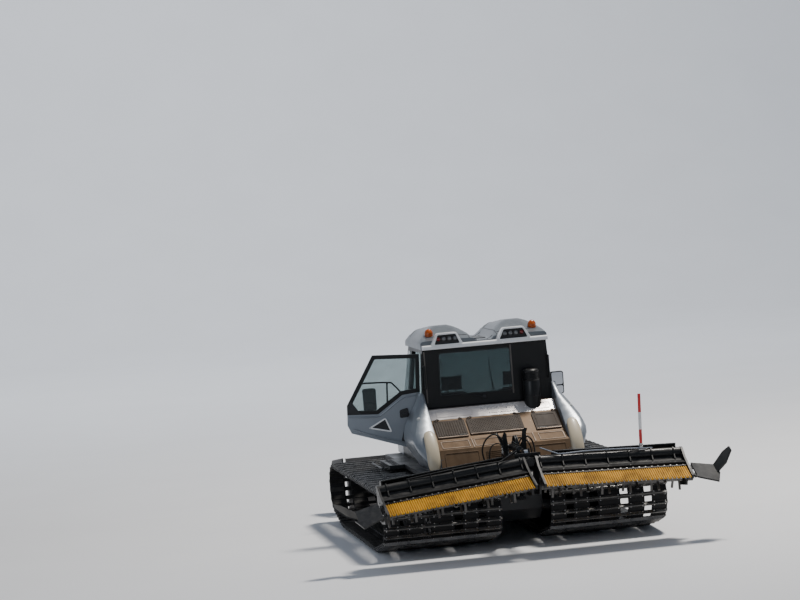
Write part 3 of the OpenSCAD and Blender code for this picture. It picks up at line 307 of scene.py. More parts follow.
class Form:
    """Gathers faces in the row frame, or in a local frame given by a matrix."""

    def __init__(self, at=None):
        self.v, self.f = [], []
        self.at = at or Matrix.Identity(4)

    def put(self, verts, faces):
        n = len(self.v)
        self.v += [self.at @ Vector(p) for p in verts]
        self.f += [[i + n for i in face] for face in faces]

    def prism(self, outline, a, b, across="y"):
        n = len(outline)
        faces = [list(range(n)), list(range(2 * n - 1, n - 1, -1))]
        faces += [[i, (i + 1) % n, n + (i + 1) % n, n + i] for i in range(n)]
        self.put([ACROSS[across](p, t) for t in (a, b) for p in outline], faces)

    def plate(self, outline, r, a, b, across="y"):
        self.prism(rounded(outline, r), a, b, across)

    def slab(self, x0, x1, y0, y1, z0, z1):
        self.prism(oblong(x0, x1, z0, z1), y0, y1)

    def ring(self, outer, inner, a, b, across="y"):
        """A plate with one hole: an outline of as many points, or the distance of its edge from the outer."""
        if isinstance(inner, float):
            inner = inset(outer, inner)
        n = len(outer)
        faces = []
        for i in range(n):
            j = (i + 1) % n
            faces += [[i, j, n + j, n + i], [2 * n + i, 3 * n + i, 3 * n + j, 2 * n + j],
                      [i, 2 * n + i, 2 * n + j, j], [n + i, n + j, 3 * n + j, 3 * n + i]]
        self.put([ACROSS[across](p, t) for t in (a, b) for line in (outer, inner) for p in line], faces)

    def loft(self, rings, loop=False):
        n, count = len(rings[0]), len(rings)
        faces = []
        for k in range(count if loop else count - 1):
            a, b = k * n, ((k + 1) % count) * n
            faces += [[a + i, a + (i + 1) % n, b + (i + 1) % n, b + i] for i in range(n)]
        if not loop:
            faces += [list(range(n - 1, -1, -1)), [(count - 1) * n + i for i in range(n)]]
        self.put([p for ring in rings for p in ring], faces)

    def turned(self, profile, base, axis, sides=32, closed=False):
        """Profile of (distance along the axis, radius), turned about an axis through base."""
        axis = Vector(axis).normalized()
        across = axis.orthogonal().normalized()
        other = axis.cross(across)
        self.loft([circle(Vector(base) + axis * t, across, other, r, sides) for t, r in profile], closed)

    def rod(self, a, b, r, sides=16):
        a, b = Vector(a), Vector(b)
        self.turned([(0, r), ((b - a).length, r)], a, b - a, sides)

    def bolt(self, at, axis, r=0.012, h=0.01):
        self.turned([(0, r), (h, r), (h, r * 0.5), (h * 1.2, r * 0.45)], at, axis, 6)

    def tube(self, points, r, sides=10, steps=6):
        """A pipe along a smooth curve through the points."""
        p = [Vector(q) for q in points]
        p = [p[0] * 2 - p[1]] + p + [p[-1] * 2 - p[-2]]
        line = []
        for a, b, c, d in zip(p, p[1:], p[2:], p[3:]):
            for k in range(steps):
                t = k / steps
                line.append(0.5 * ((2 * b) + (c - a) * t + (2 * a - 5 * b + 4 * c - d) * t * t
                                   + (3 * b - a - 3 * c + d) * t ** 3))
        line.append(p[-2])
        across = (line[1] - line[0]).orthogonal().normalized()
        rings = []
        for i, q in enumerate(line):
            way = (line[min(i + 1, len(line) - 1)] - line[max(i - 1, 0)]).normalized()
            across = (across - way * across.dot(way)).normalized()
            rings.append(circle(q, across, way.cross(across), r, sides))
        self.loft(rings)

    def make(self, name, finish, body="chassis", slot=None, bevel=0, segments=2, angle=35, sub=0):
        """The finished piece. Its slot argument is not used."""
        slot = slot or finish
        mesh = bpy.data.meshes.new(name)
        mesh.from_pydata(self.v, [], self.f)
        b = bmesh.new()
        b.from_mesh(mesh)
        bmesh.ops.recalc_face_normals(b, faces=b.faces)
        b.to_mesh(mesh)
        b.free()
        obj = place(name, mesh)
        mesh.polygons.foreach_set("use_smooth", [True] * len(mesh.polygons))
        if sub:
            m = obj.modifiers.new("round", "SUBSURF")
            m.levels = m.render_levels = sub
        else:
            mesh.set_sharp_from_angle(angle=radians(angle))
        if bevel:
            m = obj.modifiers.new("edge", "BEVEL")
            m.width, m.segments = bevel, segments
            m.limit_method, m.angle_limit = "ANGLE", radians(angle)
        mesh.materials.append(mats[finish])
        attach(obj, body)
        return obj


def oblong(a0, a1, b0, b1):
    return [(a0, b0), (a1, b0), (a1, b1), (a0, b1)]


def trapeze(middle, low_half, low, high_half, high):
    return [(middle - low_half, low), (middle + low_half, low),
            (middle + high_half, high), (middle - high_half, high)]


def rounded(outline, r, steps=4):
    """An outline with its corners rounded."""
    out = []
    n = len(outline)
    for i in range(n):
        a, b, c = (Vector(outline[(i + k) % n]) for k in (-1, 0, 1))
        u, w = a - b, c - b
        cut = min(r, u.length * 0.45, w.length * 0.45)
        p, q = b + u.normalized() * cut, b + w.normalized() * cut
        for k in range(steps + 1):
            t = k / steps
            out.append(tuple(p * (1 - t) ** 2 + b * 2 * t * (1 - t) + q * t * t))
    return out


def inset(outline, d):
    """A convex outline moved inwards by d."""
    n = len(outline)
    middle = sum((Vector(p) for p in outline), Vector((0, 0))) / n
    out = []
    for i in range(n):
        a, b, c = (Vector(outline[(i + k) % n]) for k in (-1, 0, 1))
        inwards = Vector((0, 0))
        for way in (b - a, c - b):
            normal = Vector((-way.y, way.x)).normalized()
            inwards += -normal if normal.dot(middle - b) < 0 else normal
        out.append(tuple(b + inwards * (d / max(0.3, inwards.length_squared / 2))))
    return out


def level_at(line, t):
    """Value at t of a line given by points, level past its last one."""
    for (t0, a), (t1, b) in zip(line, line[1:]):
        if t <= t1:
            return a + (b - a) * (t - t0) / (t1 - t0)
    return line[-1][1]


def spread(a, b, count):
    """Evenly spaced values from a to b, both included."""
    return [a + (b - a) * k / (count - 1) for k in range(count)]


def row(start, step, count):
    return [start + k * step for k in range(count)]


def around(x, z, r, count):
    """Evenly spaced points on a circle in the machine's x and z."""
    return [(x + r * cos(a), z + r * sin(a)) for a in (2 * pi * k / count for k in range(count))]


# Tracks
BELT_R, BELT_T, BAR_H, BARS, LOW_BAR, BAR_PHASE = 0.365, 0.024, 0.055, 80, 0.8, 0.74
BELTS = [(0.362, 0.598), (0.7, 0.94), (1.062, 1.398), (1.51, 1.76), (1.862, 2.098)]
WHEEL_BELT = BELTS[2]
CORNERS = [(-END_X, END_Z), (-ROAD_X, WHEEL_Z), (ROAD_X, WHEEL_Z), (END_X, END_Z)]
WAYS = [(b[0] - a[0], b[1] - a[1]) for a, b in zip(CORNERS, CORNERS[1:] + CORNERS[:1])]
HEADINGS = [atan2(z, x) for x, z in WAYS]
ARCS = [BELT_R * ((HEADINGS[i] - HEADINGS[i - 1]) % (2 * pi)) for i in range(4)]
LEGS = [arc + hypot(*way) for arc, way in zip(ARCS, WAYS)]
LOOP = sum(LEGS)


def along(s):
    """Place and heading of a point on the belts' outer face."""
    s %= LOOP
    i = 0
    while s > LEGS[i]:
        s -= LEGS[i]
        i += 1
    if s < ARCS[i]:
        a, ahead = HEADINGS[i - 1] + s / BELT_R, 0
    else:
        a, ahead = HEADINGS[i], s - ARCS[i]
    x, z = CORNERS[i]
    return x + BELT_R * sin(a) + ahead * cos(a), z - BELT_R * cos(a) + ahead * sin(a), a


def out_by(s, t, h, y=None):
    """A point t along the loop and h outwards from it, in x and z, or with its y as well."""
    x, z, a = along(s)
    x, z = x + t * cos(a) + h * sin(a), z + t * sin(a) - h * cos(a)
    return (x, z) if y is None else (x, y, z)


stops, at = [], 0
for arc, leg in zip(ARCS, LEGS):
    steps = max(3, int(degrees(arc / BELT_R) / 5))
    stops += [at + arc * k / steps for k in range(steps + 1)]
    at += leg
for s, word in SIDES:
    belts, bars, caps, bolts = (Form(side(s)) for _ in range(4))
    for y0, y1 in BELTS:
        section = [(y0 + 0.008, -BELT_T), (y0, -BELT_T / 2), (y0 + 0.005, -0.001),
                   (y1 - 0.005, -0.001), (y1, -BELT_T / 2), (y1 - 0.008, -BELT_T)]
        belts.loft([[out_by(p, 0, h, y) for y, h in section] for p in stops], loop=True)
    for n in range(BARS):
        p = (n + BAR_PHASE) * LOOP / BARS
        tall = BAR_H * LOW_BAR if n % 2 else BAR_H
        bars.prism([out_by(p, *q) for q in oblong(-0.034, 0.034, 0.001, 0.01)],
                   TRACK_IN + 0.002, TRACK_OUT - 0.002)
        rings = []
        for y, k in ((TRACK_IN, 0.35), (TRACK_IN + 0.05, 1), (TRACK_OUT - 0.05, 1), (TRACK_OUT, 0.35)):
            h = tall * k - 0.002
            rings.append([out_by(p, *q, y) for q in ((-0.02, 0.01), (-0.0055, h), (0.0055, h), (0.02, 0.01))])
        caps.loft(rings)
        a = along(p)[2]
        for belt in BELTS:
            y0, y1 = belt
            if belt == WHEEL_BELT:
                for g in (y0 - 0.008, y1 - 0.012):
                    bars.prism([out_by(p, *q) for q in trapeze(0, 0.04, -0.02, 0.014, -0.095)], g, g + 0.02)
            else:
                bars.prism([out_by(p, *q) for q in oblong(-0.034, 0.034, -0.034, -0.023)],
                           y0 + 0.015, y1 - 0.015)
            for y in (y0 + 0.035, y1 - 0.035):
                for t in (-0.026, 0.026):
                    bolts.bolt(out_by(p, t, 0.009, y), (sin(a), 0, -cos(a)), 0.009, 0.008)
    belts.make("belts_" + word, "track_rubber")
    obj = bars.make("track_bars_" + word, "track_metal", slot="track_rubber", bevel=0.002, segments=1)
    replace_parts(obj, "track_" + word)
    caps.make("track_edges_" + word, "track_edge", slot="track_rubber", bevel=0.0015, segments=1)
    bolts.make("track_bolts_" + word, "bright_metal", slot="track_rubber")

# Wheels
TYRE = [(0, 0.215), (0, 0.285), (0.012, 0.318), (0.035, 0.335), (0.07, ROAD_R)]
for m in row(0.088, 0.034, 3):
    TYRE += [(m, ROAD_R), (m + 0.004, ROAD_R - 0.008), (m + 0.012, ROAD_R - 0.008), (m + 0.016, ROAD_R)]
TYRE += [(0.19, ROAD_R), (0.225, 0.335), (0.248, 0.318), (0.26, 0.285), (0.26, 0.215), (0.22, 0.205),
         (0.04, 0.205)]
RIM = [(0.045, 0.207), (0.02, 0.205), (0.012, 0.19), (0.05, 0.165), (0.09, 0.11), (0.075, 0.06),
       (0.185, 0.06), (0.17, 0.11), (0.21, 0.165), (0.248, 0.19), (0.24, 0.205), (0.215, 0.207)]
for s, word in SIDES:
    tyres, rims, nuts = (Form(side(s)) for _ in range(3))
    for x in spread(-ROAD_X, ROAD_X, 5):
        z = WHEEL_Z
        tyres.turned(TYRE, (x, WHEEL_IN, z), Y, 56, closed=True)
        rims.turned(RIM, (x, WHEEL_IN, z), Y, 40)
        rims.turned([(0, 0.048), (0.75, 0.048), (0.75, 0.075), (1.1, 0.075), (AXLE_LEN, 0.05)],
                    (x, AXLE_IN, z), Y, 24)
        for nx, nz in around(x, z, 0.135, 8):
            nuts.bolt((nx, WHEEL_OUT - 0.075, nz), Y, 0.012, 0.016)
            nuts.bolt((nx, WHEEL_IN + 0.072, nz), (0, -1, 0), 0.012, 0.016)
        arm = [(x - 0.05, z - 0.03), (x + 0.05, z - 0.04), (x + 0.3, 0.66), (x + 0.3, 0.76), (x + 0.22, 0.76)]
        rims.prism(arm, 0.36, 0.4)
    for x, teeth, low in ((-END_X, 24, 0.318), (END_X, 60, ROAD_R - 0.003)):
        outline = []
        for k in range(teeth):
            for da, r in ((-0.55, low), (-0.3, ROAD_R - 0.002), (0.3, ROAD_R - 0.002), (0.55, low)):
                a = (2 * k + da) * pi / teeth
                outline.append((x + r * cos(a), END_Z + r * sin(a)))
        for y in (WHEEL_IN, WHEEL_OUT - 0.07):
            tyres.prism(outline, y, y + 0.07)
        rims.turned([(0, 0.187), (0.26, 0.187)], (x, WHEEL_IN, END_Z), Y)
        rims.turned([(0, 0.06), (AXLE_LEN, 0.06)], (x, AXLE_IN, END_Z), Y, 24)
        rims.turned([(0, 0.15), (0.02, 0.15), (0.03, 0.1), (0.055, 0.09), (0.06, 0.05)],
                    (x, WHEEL_OUT, END_Z), Y)
        for nx, nz in around(x, END_Z, 0.128, 10):
            nuts.bolt((nx, WHEEL_OUT + 0.02, nz), Y, 0.011, 0.012)
    obj = tyres.make("tyres_" + word, "track_rubber", slot="worn_steel")
    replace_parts(obj, "wheels_" + word)
    rims.make("rims_" + word, "dark_frame", slot="worn_steel")
    nuts.make("wheel_nuts_" + word, "bright_metal", slot="worn_steel")

# Roof, beacons and the bright rear bar
ROOF_HALF = 0.975
ROOF_LINE = [(-0.43, 2.948), (-0.18, 3.036), (0.1, 3.15), (0.3, 3.14), (0.74, 3.074), (0.9, 2.93),
             (0.945, 2.885), (0.962, 2.832)]
ROOF_XS = (-0.429, -0.42, -0.38, -0.3, -0.2, -0.15, -0.05, 0.04, 0.1, 0.2, 0.3, 0.45, 0.6, 0.7, 0.76, 0.82,
           0.88, 0.92, 0.945, 0.953, 0.958)


def roof_at(x, y, lift=0):
    """A point over the roof: two lobes that blend into a rounded shell, under a line along the machine."""
    edge = min(1.0, (ROOF_HALF - abs(y)) / 0.05)
    low = ROOF_Z + 0.07 * sqrt(max(0.0, 1 - (1 - edge) ** 2))
    d = 0.48 ** 2 - (abs(y) - 0.56) ** 2
    lobe = ROOF_Z - 0.15 + sqrt(d) if d > 0 else ROOF_Z
    z = low + 0.035 * log1p(exp(min(20.0, (lobe - low) / 0.035))) - 0.0015
    cap = level_at(ROOF_LINE, x)
    if z > cap:
        z = cap + (z - cap) * 0.06
    return x, y, max(ROOF_Z + 0.001, z) + lift


skin = Form()
skin.loft([[roof_at(x, y) for y in spread(-ROOF_HALF, ROOF_HALF, 79)]
           + [(x, y, ROOF_Z + 0.0005) for y in (ROOF_HALF, -ROOF_HALF)] for x in ROOF_XS])
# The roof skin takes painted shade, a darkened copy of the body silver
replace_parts(skin.make("roof_skin", "painted_shade_roof", slot="silver_body", angle=50), "roof")
seams = Form()
for x in (-0.3, 0.66):
    seams.tube([roof_at(x, y, 0.001) for y in spread(-0.94, 0.94, 25)], 0.004, 6, 2)
for y in (-0.215, 0.215):
    seams.tube([roof_at(x, y, 0.001) for x in (-0.42, -0.2, 0.1, 0.4, 0.7)], 0.005, 6, 3)
seams.slab(0, 0.55, -0.17, 0.17, 2.9, 2.912)
seams.make("roof_hatch", "black_body", bevel=0.004)

BEACON_X, BEACON_Y = -0.22, 0.8
BEACON = [(0, 0.06), (0.004, 0.0655), (0.012, 0.066)]
for h in row(0.014, 0.011, 6):
    BEACON += [(h, 0.0655), (h + 0.005, 0.0635), (h + 0.01, 0.0655)]
BEACON += [(0.085, 0.062), (0.105, 0.054), (0.122, 0.04), (0.133, 0.022), (0.1375, 0.004)]
for s, word in SIDES:
    amber, foot = Form(), Form()
    amber.turned(BEACON, (BEACON_X, BEACON_Y * s, 2.9905), Z, 40)
    obj = amber.make("beacon_" + word, "amber_lens")
    if s > 0:
        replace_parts(obj, "beacons")
    foot.turned([(0, 0.08), (0.03, 0.08), (0.045, 0.074), (0.058, 0.074), (0.0665, 0.07)],
                (BEACON_X, BEACON_Y * s, 2.921), Z, 36)
    foot.turned([(0, 0.045), (0.05, 0.04), (0.095, 0.03), (0.1, 0.012)],
                (BEACON_X, BEACON_Y * s, 2.985), Z, 24)
    obj = foot.make("beacon_foot_" + word, "dark_plastic")
    if s > 0:
        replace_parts(obj, "beacon_bases")

PODS = [(0.585, 0.246, 0.15), (-0.44, 0.27, 0.16)]
BAR_TOP, POD_TOP, BAR_X = ROOF_Z + 0.062, ROOF_Z + 0.235, -0.432
RED_LAMPS = ((0, 3), (1, 0))
bar, well, trim, clear, red = (Form() for _ in range(5))
bar.plate([(-0.548, ROOF_Z - 0.004), (BAR_X, ROOF_Z - 0.004), (BAR_X, BAR_TOP), (-0.535, BAR_TOP)], 0.02,
          -0.965, 0.965)
for i, (y, foot, head) in enumerate(PODS):
    outer = rounded(trapeze(y, foot, BAR_TOP - 0.006, head, POD_TOP), 0.03)
    inner = rounded(trapeze(y, foot - 0.05, BAR_TOP + 0.004, head - 0.012, POD_TOP - 0.026), 0.022)
    bar.ring(outer, inner, -0.549, -0.44, "x")
    well.prism(inner, -0.505, -0.47, "x")
    for n, lamp_y in enumerate(row(y - 0.129, 0.086, 4)):
        lamp_z = BAR_TOP + 0.084
        lamp = red if (i, n) in RED_LAMPS else clear
        lamp.turned([(0, 0.03), (0.018, 0.03), (0.028, 0.022), (0.033, 0.006)],
                    (-0.515, lamp_y, lamp_z), BACK, 28)
        trim.turned([(0, 0.038), (0.034, 0.038), (0.036, 0.034), (0.03, 0.031), (0.012, 0.03)],
                    (-0.5, lamp_y, lamp_z), BACK, 28)
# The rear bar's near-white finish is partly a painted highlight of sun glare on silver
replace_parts(bar.make("rear_bar", "bright_trim", bevel=0.006, segments=3), "spoiler")
well.make("lamp_wells", "dark_plastic", slot="bright_trim")
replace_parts(clear.make("work_lamps_clear", "work_lens", slot="lamp_lens"), "work_lamps")
red.make("work_lamps_red", "red_lens", slot="lamp_lens")
trim.make("lamp_rims", "dark_plastic", slot="bright_trim")

# Cab: rear window surround, wiper, rails, windscreen wipers
band, seal, rail, wiper = (Form() for _ in range(4))
inner = rounded([(-0.385, 2.105), (0.735, 2.105), (0.715, 2.76), (-0.385, 2.76)], 0.05)
band.ring(rounded(trapeze(0, 0.955, 1.945, 0.925, 2.815), 0.03), inner, -0.436, -0.4285, "x")
band.make("window_band", "black_body", bevel=0.002)
seal.ring(inner, 0.012, -0.44, -0.429, "x")
seal.make("window_seal", "dark_plastic", bevel=0.002)
rail.slab(-0.446, -0.437, -0.405, -0.383, 2.06, 2.8)
rail.slab(-0.442, -0.437, 0.925, 0.945, 2.02, 2.8)
rail.make("window_rails", "grey_strip", slot="bright_trim", bevel=0.002)
wiper.turned([(0, 0.03), (0.022, 0.03), (0.03, 0.018)], (-0.437, 0.06, 2.045), BACK, 20)
wiper.tube([(-0.458, 0.06, 2.045), (-0.463, 0.2, 2.075), (-0.46, 0.42, 2.115)], 0.006, 8)
wiper.slab(-0.462, -0.452, 0.16, 0.7, 2.112, 2.126)
wiper.slab(-0.456, -0.441, 0.15, 0.71, 2.118, 2.122)
wiper.make("rear_wiper", "dark_plastic", bevel=0.002)

screen = shift(1.48, 0, 1.74) @ Matrix.Rotation(-atan2(0.68, 1.09), 4, "Y")
front, gasket = Form(screen), Form(screen)
for y in (-0.55, 0.2):
    front.turned([(0, 0.028), (0.026, 0.028), (0.034, 0.012)], (0.009, y, 0.055), X, 20)
    front.tube([(0.035, y, 0.055), (0.04, y + 0.1, 0.3), (0.03, y + 0.16, 0.55)], 0.007, 8)
    front.prism([(y + 0.1, 0.2), (y + 0.112, 0.2), (y + 0.232, 0.92), (y + 0.22, 0.92)], 0.012, 0.03, "x")
front.make("screen_wipers", "dark_plastic", bevel=0.002)
gasket.ring(rounded(trapeze(0, 0.965, 0.03, 0.912, 1.24), 0.05), 0.045, 0.0085, 0.016, "x")
gasket.make("screen_gasket", "black_body", bevel=0.003)


# Doors
def door_frame_at(s):
    """A door's own frame: the left one stands open, the right one is closed."""
    closed = shift(0, CAB_HALF, SIDE_Z) @ turn(LEAN, "X") @ shift(DOOR_X, 0, 0)
    if s < 0:
        return MIRROR @ closed
    swing = (shift(DOOR_X, CAB_HALF, SIDE_Z) @ turn(LEAN, "X") @ shift(0, HINGE_OUT, 0) @ turn(DOOR_OPEN, "Z")
             @ shift(0, -HINGE_OUT, 0) @ turn(-LEAN, "X") @ shift(-DOOR_X, -CAB_HALF, -SIDE_Z))
    return swing @ closed


for s, word in SIDES:
    body = "door_" + word
    rim, dark, latch, ridge, pane, inside = (Form(door_frame_at(s)) for _ in range(6))
    recess = rounded([(0.43, 0.47), (0.8, 0.54), (0.53, 0.7)], 0.04)
    rim.ring(recess, 0.022, 0.0005, 0.014)
    rim.make("door_recess_rim_" + word, "bright_trim", body, "silver_body", bevel=0.004)
    dark.prism(inset(recess, 0.02), 0.0005, 0.004)
    dark.prism([(1.098, 0.755), (0.9, 0.755), (1.048, 0.96), (1.098, 0.88)], -0.03, 0.003)
    dark.make("door_dark_panels_" + word, "dark_plastic", body, "black_body", bevel=0.002)
    latch.plate([(0.17, 0.7), (0.31, 0.68), (0.32, 0.8), (0.19, 0.84)], 0.03, 0.0005, 0.018)
    latch.plate([(0.19, 0.73), (0.3, 0.715), (0.3, 0.745), (0.19, 0.765)], 0.01, 0.018, 0.042)
    latch.plate([(0.08, 0.26), (0.3, 0.33), (0.24, 0.56)], 0.02, 0.0005, 0.01)
    latch.make("door_latch_" + word, "dark_plastic", body, bevel=0.003)
    ridge.tube([(1.03, 0.006, 0.535), (0.8, 0.007, 0.455), (0.45, 0.007, 0.365), (0.06, 0.007, 0.275)],
               0.009, 8)
    ridge.tube([(1.08, 0.006, 0.715), (0.67, 0.007, 0.712), (0.55, 0.007, 0.775), (0.28, 0.007, 0.975),
                (0.05, 0.006, 1.02)], 0.011, 8)
    ridge.make("door_ridges_" + word, "silver_body", body)
    pane.tube([(x, -0.01, z) for x, z in
               ((0.905, 1.215), (0.8, 1.225), (0.47, 1.225), (0.4, 1.19), (0.28, 1.06))], 0.013, 8)
    pane.slab(0.485, 0.51, -0.018, -0.002, 0.845, 1.225)
    pane.make("door_window_bars_" + word, "black_body", body, bevel=0.003)
    inside.plate([(0.08, 0.27), (0.98, 0.5), (0.98, 0.7), (0.6, 0.7), (0.26, 0.95), (0.08, 0.99)], 0.06,
                 -0.072, -0.0565)
    inside.tube([(0.75, -0.072, 0.62), (0.74, -0.12, 0.62), (0.45, -0.12, 0.6), (0.44, -0.072, 0.6)],
                0.012, 8)
    inside.make("door_lining_" + word, "dark_plastic", body, bevel=0.004)

# Deck and lids
deck, strip = Form(), Form()
x0, x1 = LEDGE[0] + 0.02, LEDGE[0] + 0.1
for y in row(-0.16, -0.072, 8):
    deck.prism([(x0, y), (x1, y - 0.03), (x1, y - 0.042), (x0, y - 0.012)], 1.9302, 1.9325, "z")
deck.make("ledge_slots", "dark_plastic")
strip.slab(LEDGE[0] + 0.004, CAB_REAR - 0.022, -0.955, 0.955, 1.9295, 1.9312)
strip.make("ledge_strip", "grey_strip", slot="bronze_deck")

face, length = sloped(LIP, LEDGE)
plate, panels = Form(face), Form(face)
plate.slab(0.03, length - 0.006, -0.97, 0.97, -0.001, 0.0025)
# The slope plate and its panels carry a painted highlight of the sun's glare
plate.make("slope_plate", "painted_glare_plate", slot="bronze_deck", bevel=0.002)
for y0, y1 in ((0.3, 0.86), (-0.42, 0.06), (-0.9, -0.52)):
    panels.ring(rounded(oblong(0.075, length - 0.055, y0, y1), 0.03), 0.014, 0.002, 0.008, "z")
panels.make("slope_panels", "painted_glare_plate", slot="bronze_deck", bevel=0.003)

lid_at, _ = sloped(LID_FOOT, LIP, at=LIP)
for name, (y0, y1, length) in LIDS.items():
    shell, marks, lips = (Form(lid_at) for _ in range(3))
    x0, x1 = -length, -0.024
    shell.plate(oblong(x0, x1, y0, y1), 0.018, 0.0003, 0.018, "z")
    for y in (y0 + 0.045, y1 - 0.045):
        shell.turned([(-0.014, 0.0128), (0.014, 0.0128)], (0, y, 0.02), Y, 20)
        shell.slab(-0.034, -0.004, y - 0.014, y + 0.014, 0.009, 0.0255)
    if name == "lid_left":
        for y in spread(y0 + 0.035, y1 - 0.035, 12):
            shell.prism(trapeze(y, 0.01, 0.0175, 0.006, 0.0255), x0 + 0.04, x1 - 0.03, "x")
        marks.slab(x0 + 0.025, x0 + 0.045, y0 + 0.03, y0 + 0.14, 0.02, 0.0262)
    elif name == "lid_middle":
        for i in range(9):
            for j in range(20):
                x = x0 + 0.05 + i * (x1 - x0 - 0.1) / 8
                y = y0 + 0.04 + (j + 0.5 * (i % 2)) * (y1 - y0 - 0.09) / 19.5
                shell.turned([(0.0175, 0.011), (0.0245, 0.006)], (x, y, 0), Z, 8)
    else:
        ridge = rounded(oblong(x0 + 0.06, x1 - 0.05, y0 + 0.04, y1 - 0.04), 0.03)
        shell.ring(ridge, 0.016, 0.0175, 0.023, "z")
        marks.slab(x0 + 0.02, x0 + 0.042, y1 - 0.16, y1 - 0.04, 0.0175, 0.0262)
    lips.slab(x0 - 0.002, x0 + 0.012, y0 + 0.004, y1 - 0.004, 0.006, 0.026)
    obj = shell.make(name + "_cover", "lid_bronze", name, "bronze_deck", bevel=0.0015, segments=1)
    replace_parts(obj, name)
    lips.make(name + "_lip", "lid_lip", name, "bronze_deck", bevel=0.004)
    if marks.v:
        marks.make(name + "_slot", "dark_plastic", name, bevel=0.002)
knobs = Form(lid_at)
for y in (0.86, 0.52, 0.36, -0.32, -0.6, -0.9):
    knobs.turned([(0, 0.022), (0.016, 0.022), (0.022, 0.014)], (0.03, y, -0.004), Z, 16)
knobs.make("lid_stops", "dark_plastic")

step_at, length = sloped(STEP_FOOT, LID_FOOT)
fields = Form(step_at)
for y0, y1 in ((0.5, 0.93), (-0.38, 0.43), (-0.94, -0.55)):
    fields.ring(rounded(oblong(0.035, length - 0.035, y0, y1), 0.025), 0.016, -0.001, 0.008, "z")
for y in (0.455, -0.475):
    fields.slab(0.01, length - 0.01, y - 0.01, y + 0.01, -0.001, 0.01)
fields.make("deck_fields", "lid_lip", slot="bronze_deck", bevel=0.003)
tail_at, length = sloped(TAIL, STEP_FOOT)
tail = Form(tail_at)
for y0, y1 in ((0.4, 0.92), (-0.92, -0.4)):
    tail.ring(rounded(oblong(0.05, length - 0.05, y0, y1), 0.03), 0.014, -0.001, 0.006, "z")
for x in row(0.07, 0.028, 7):
    tail.slab(x, x + 0.012, -0.3, 0.3, -0.001, 0.007)
tail.make("tail_panels", "bronze_deck", bevel=0.002)

# Body pods: the outward flare by height, and the top by length
POD_FOOT = 1.092
FLARE = [(1.09, 1.099), (1.24, 1.189), (1.37, 1.274), (1.52, 1.318), (1.68, 1.294), (1.85, 1.209),
         (2.02, 1.104), (2.16, 1.054), (2.18, 1.053)]
POD_LINE = [(-1.5, 1.24), (-1.35, 1.48), (-0.8, 1.9), (-0.44, 2.18), (-0.27, 2.18)]
POD_XS = (-1.499, -1.492, -1.47, -1.42, -1.34, -1.24, -1.12, -1.0, -0.88, -0.76, -0.64, -0.54, -0.46, -0.424,
          -0.4205, -0.415, -0.34, -0.277)
CORNER_STRIP = [(-1.165, 1.655, 0.045), (-1.2, 1.635, 0.085), (-1.28, 1.57, 0.097), (-1.37, 1.47, 0.1),
                (-1.44, 1.36, 0.102), (-1.485, 1.25, 0.102), (-1.497, 1.17, 0.098), (-1.499, 1.12, 0.08),
                (-1.497, 1.1, 0.045)]
for s, word in SIDES:
    pod, strip, lamp = (Form(side(s)) for _ in range(3))
    rings = []
    for x in POD_XS:
        top = level_at(POD_LINE, x) - 0.002
        inner = 0.987 if x < -0.4203 else 1.048
        wide = 0.92 + sqrt(max(0.0, 0.16 - (min(x, -1.1) + 1.1) ** 2)) - 0.001
        reach = min(level_at(FLARE, top), wide)
        r = min(0.1, (reach - inner) * 0.75)
        ring = [(x, inner, POD_FOOT), (x, inner, POD_FOOT + (top - POD_FOOT) * 0.5), (x, inner, top - 0.012),
                (x, inner + 0.012, top)]
        for k in range(1, 8):
            a = pi / 2 * k / 8
            ring.append((x, reach - r + r * sin(a), top - r + r * cos(a)))
        for z in spread(top - r, POD_FOOT, 19)[1:]:
            ring.append((x, max(inner + 0.004, min(level_at(FLARE, z), wide)), z))
        rings.append(ring)
    pod.loft(rings)
    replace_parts(pod.make("pod_skin_" + word, "silver_body", angle=50), "pod_" + word)
    rings = []
    for i, (x, z, w) in enumerate(CORNER_STRIP):
        a, b = CORNER_STRIP[max(0, i - 1)], CORNER_STRIP[min(len(CORNER_STRIP) - 1, i + 1)]
        way = Vector((b[0] - a[0], 0, b[1] - a[1])).normalized()
        up = Vector((way.z, 0, -way.x))
        up = -up if up.dot(Vector((-1, 0, 0.6))) < 0 else up
        rings.append([Vector((x, 1.088 + w * cos(t), z)) + up * (0.045 * sin(t))
                      for t in (2 * pi * k / 14 for k in range(14))])
    strip.loft(rings)
    # The corner strips carry painted sunlight, a warm cream in place of sunlit silver
    strip.make("corner_strip_" + word, "painted_sunlit_strip", slot="silver_body", sub=1)
    lamp.turned([(0, 0.03), (0.006, 0.03), (0.012, 0.022), (0.014, 0.004)], (-0.86, 1.169, 1.8345),
                (-0.5, 0.56, 0.66), 24)
    lamp.make("side_lens_" + word, "lamp_lens")

# Stack
pipe = Form()
line = [(0, 0.13), (0.22, 0.13), (0.222, 0.126), (0.232, 0.126), (0.234, 0.13), (0.44, 0.128), (0.45, 0.123),
        (0.46, 0.123), (0.47, 0.127)]
for h in row(0.48, 0.022, 5):
    line += [(h, 0.127), (h + 0.005, 0.116), (h + 0.015, 0.116), (h + 0.019, 0.127)]
line += [(0.595, 0.129), (0.612, 0.127), (0.632, 0.108), (0.641, 0.06), (0.642, 0.01)]
pipe.turned(line, (-0.562, -0.65, 1.777), Z, 48)
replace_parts(pipe.make("intake_stack", "black_body"), "stack")


# Seats
SEAT_X, SEAT_Y = 0.25, 0.48


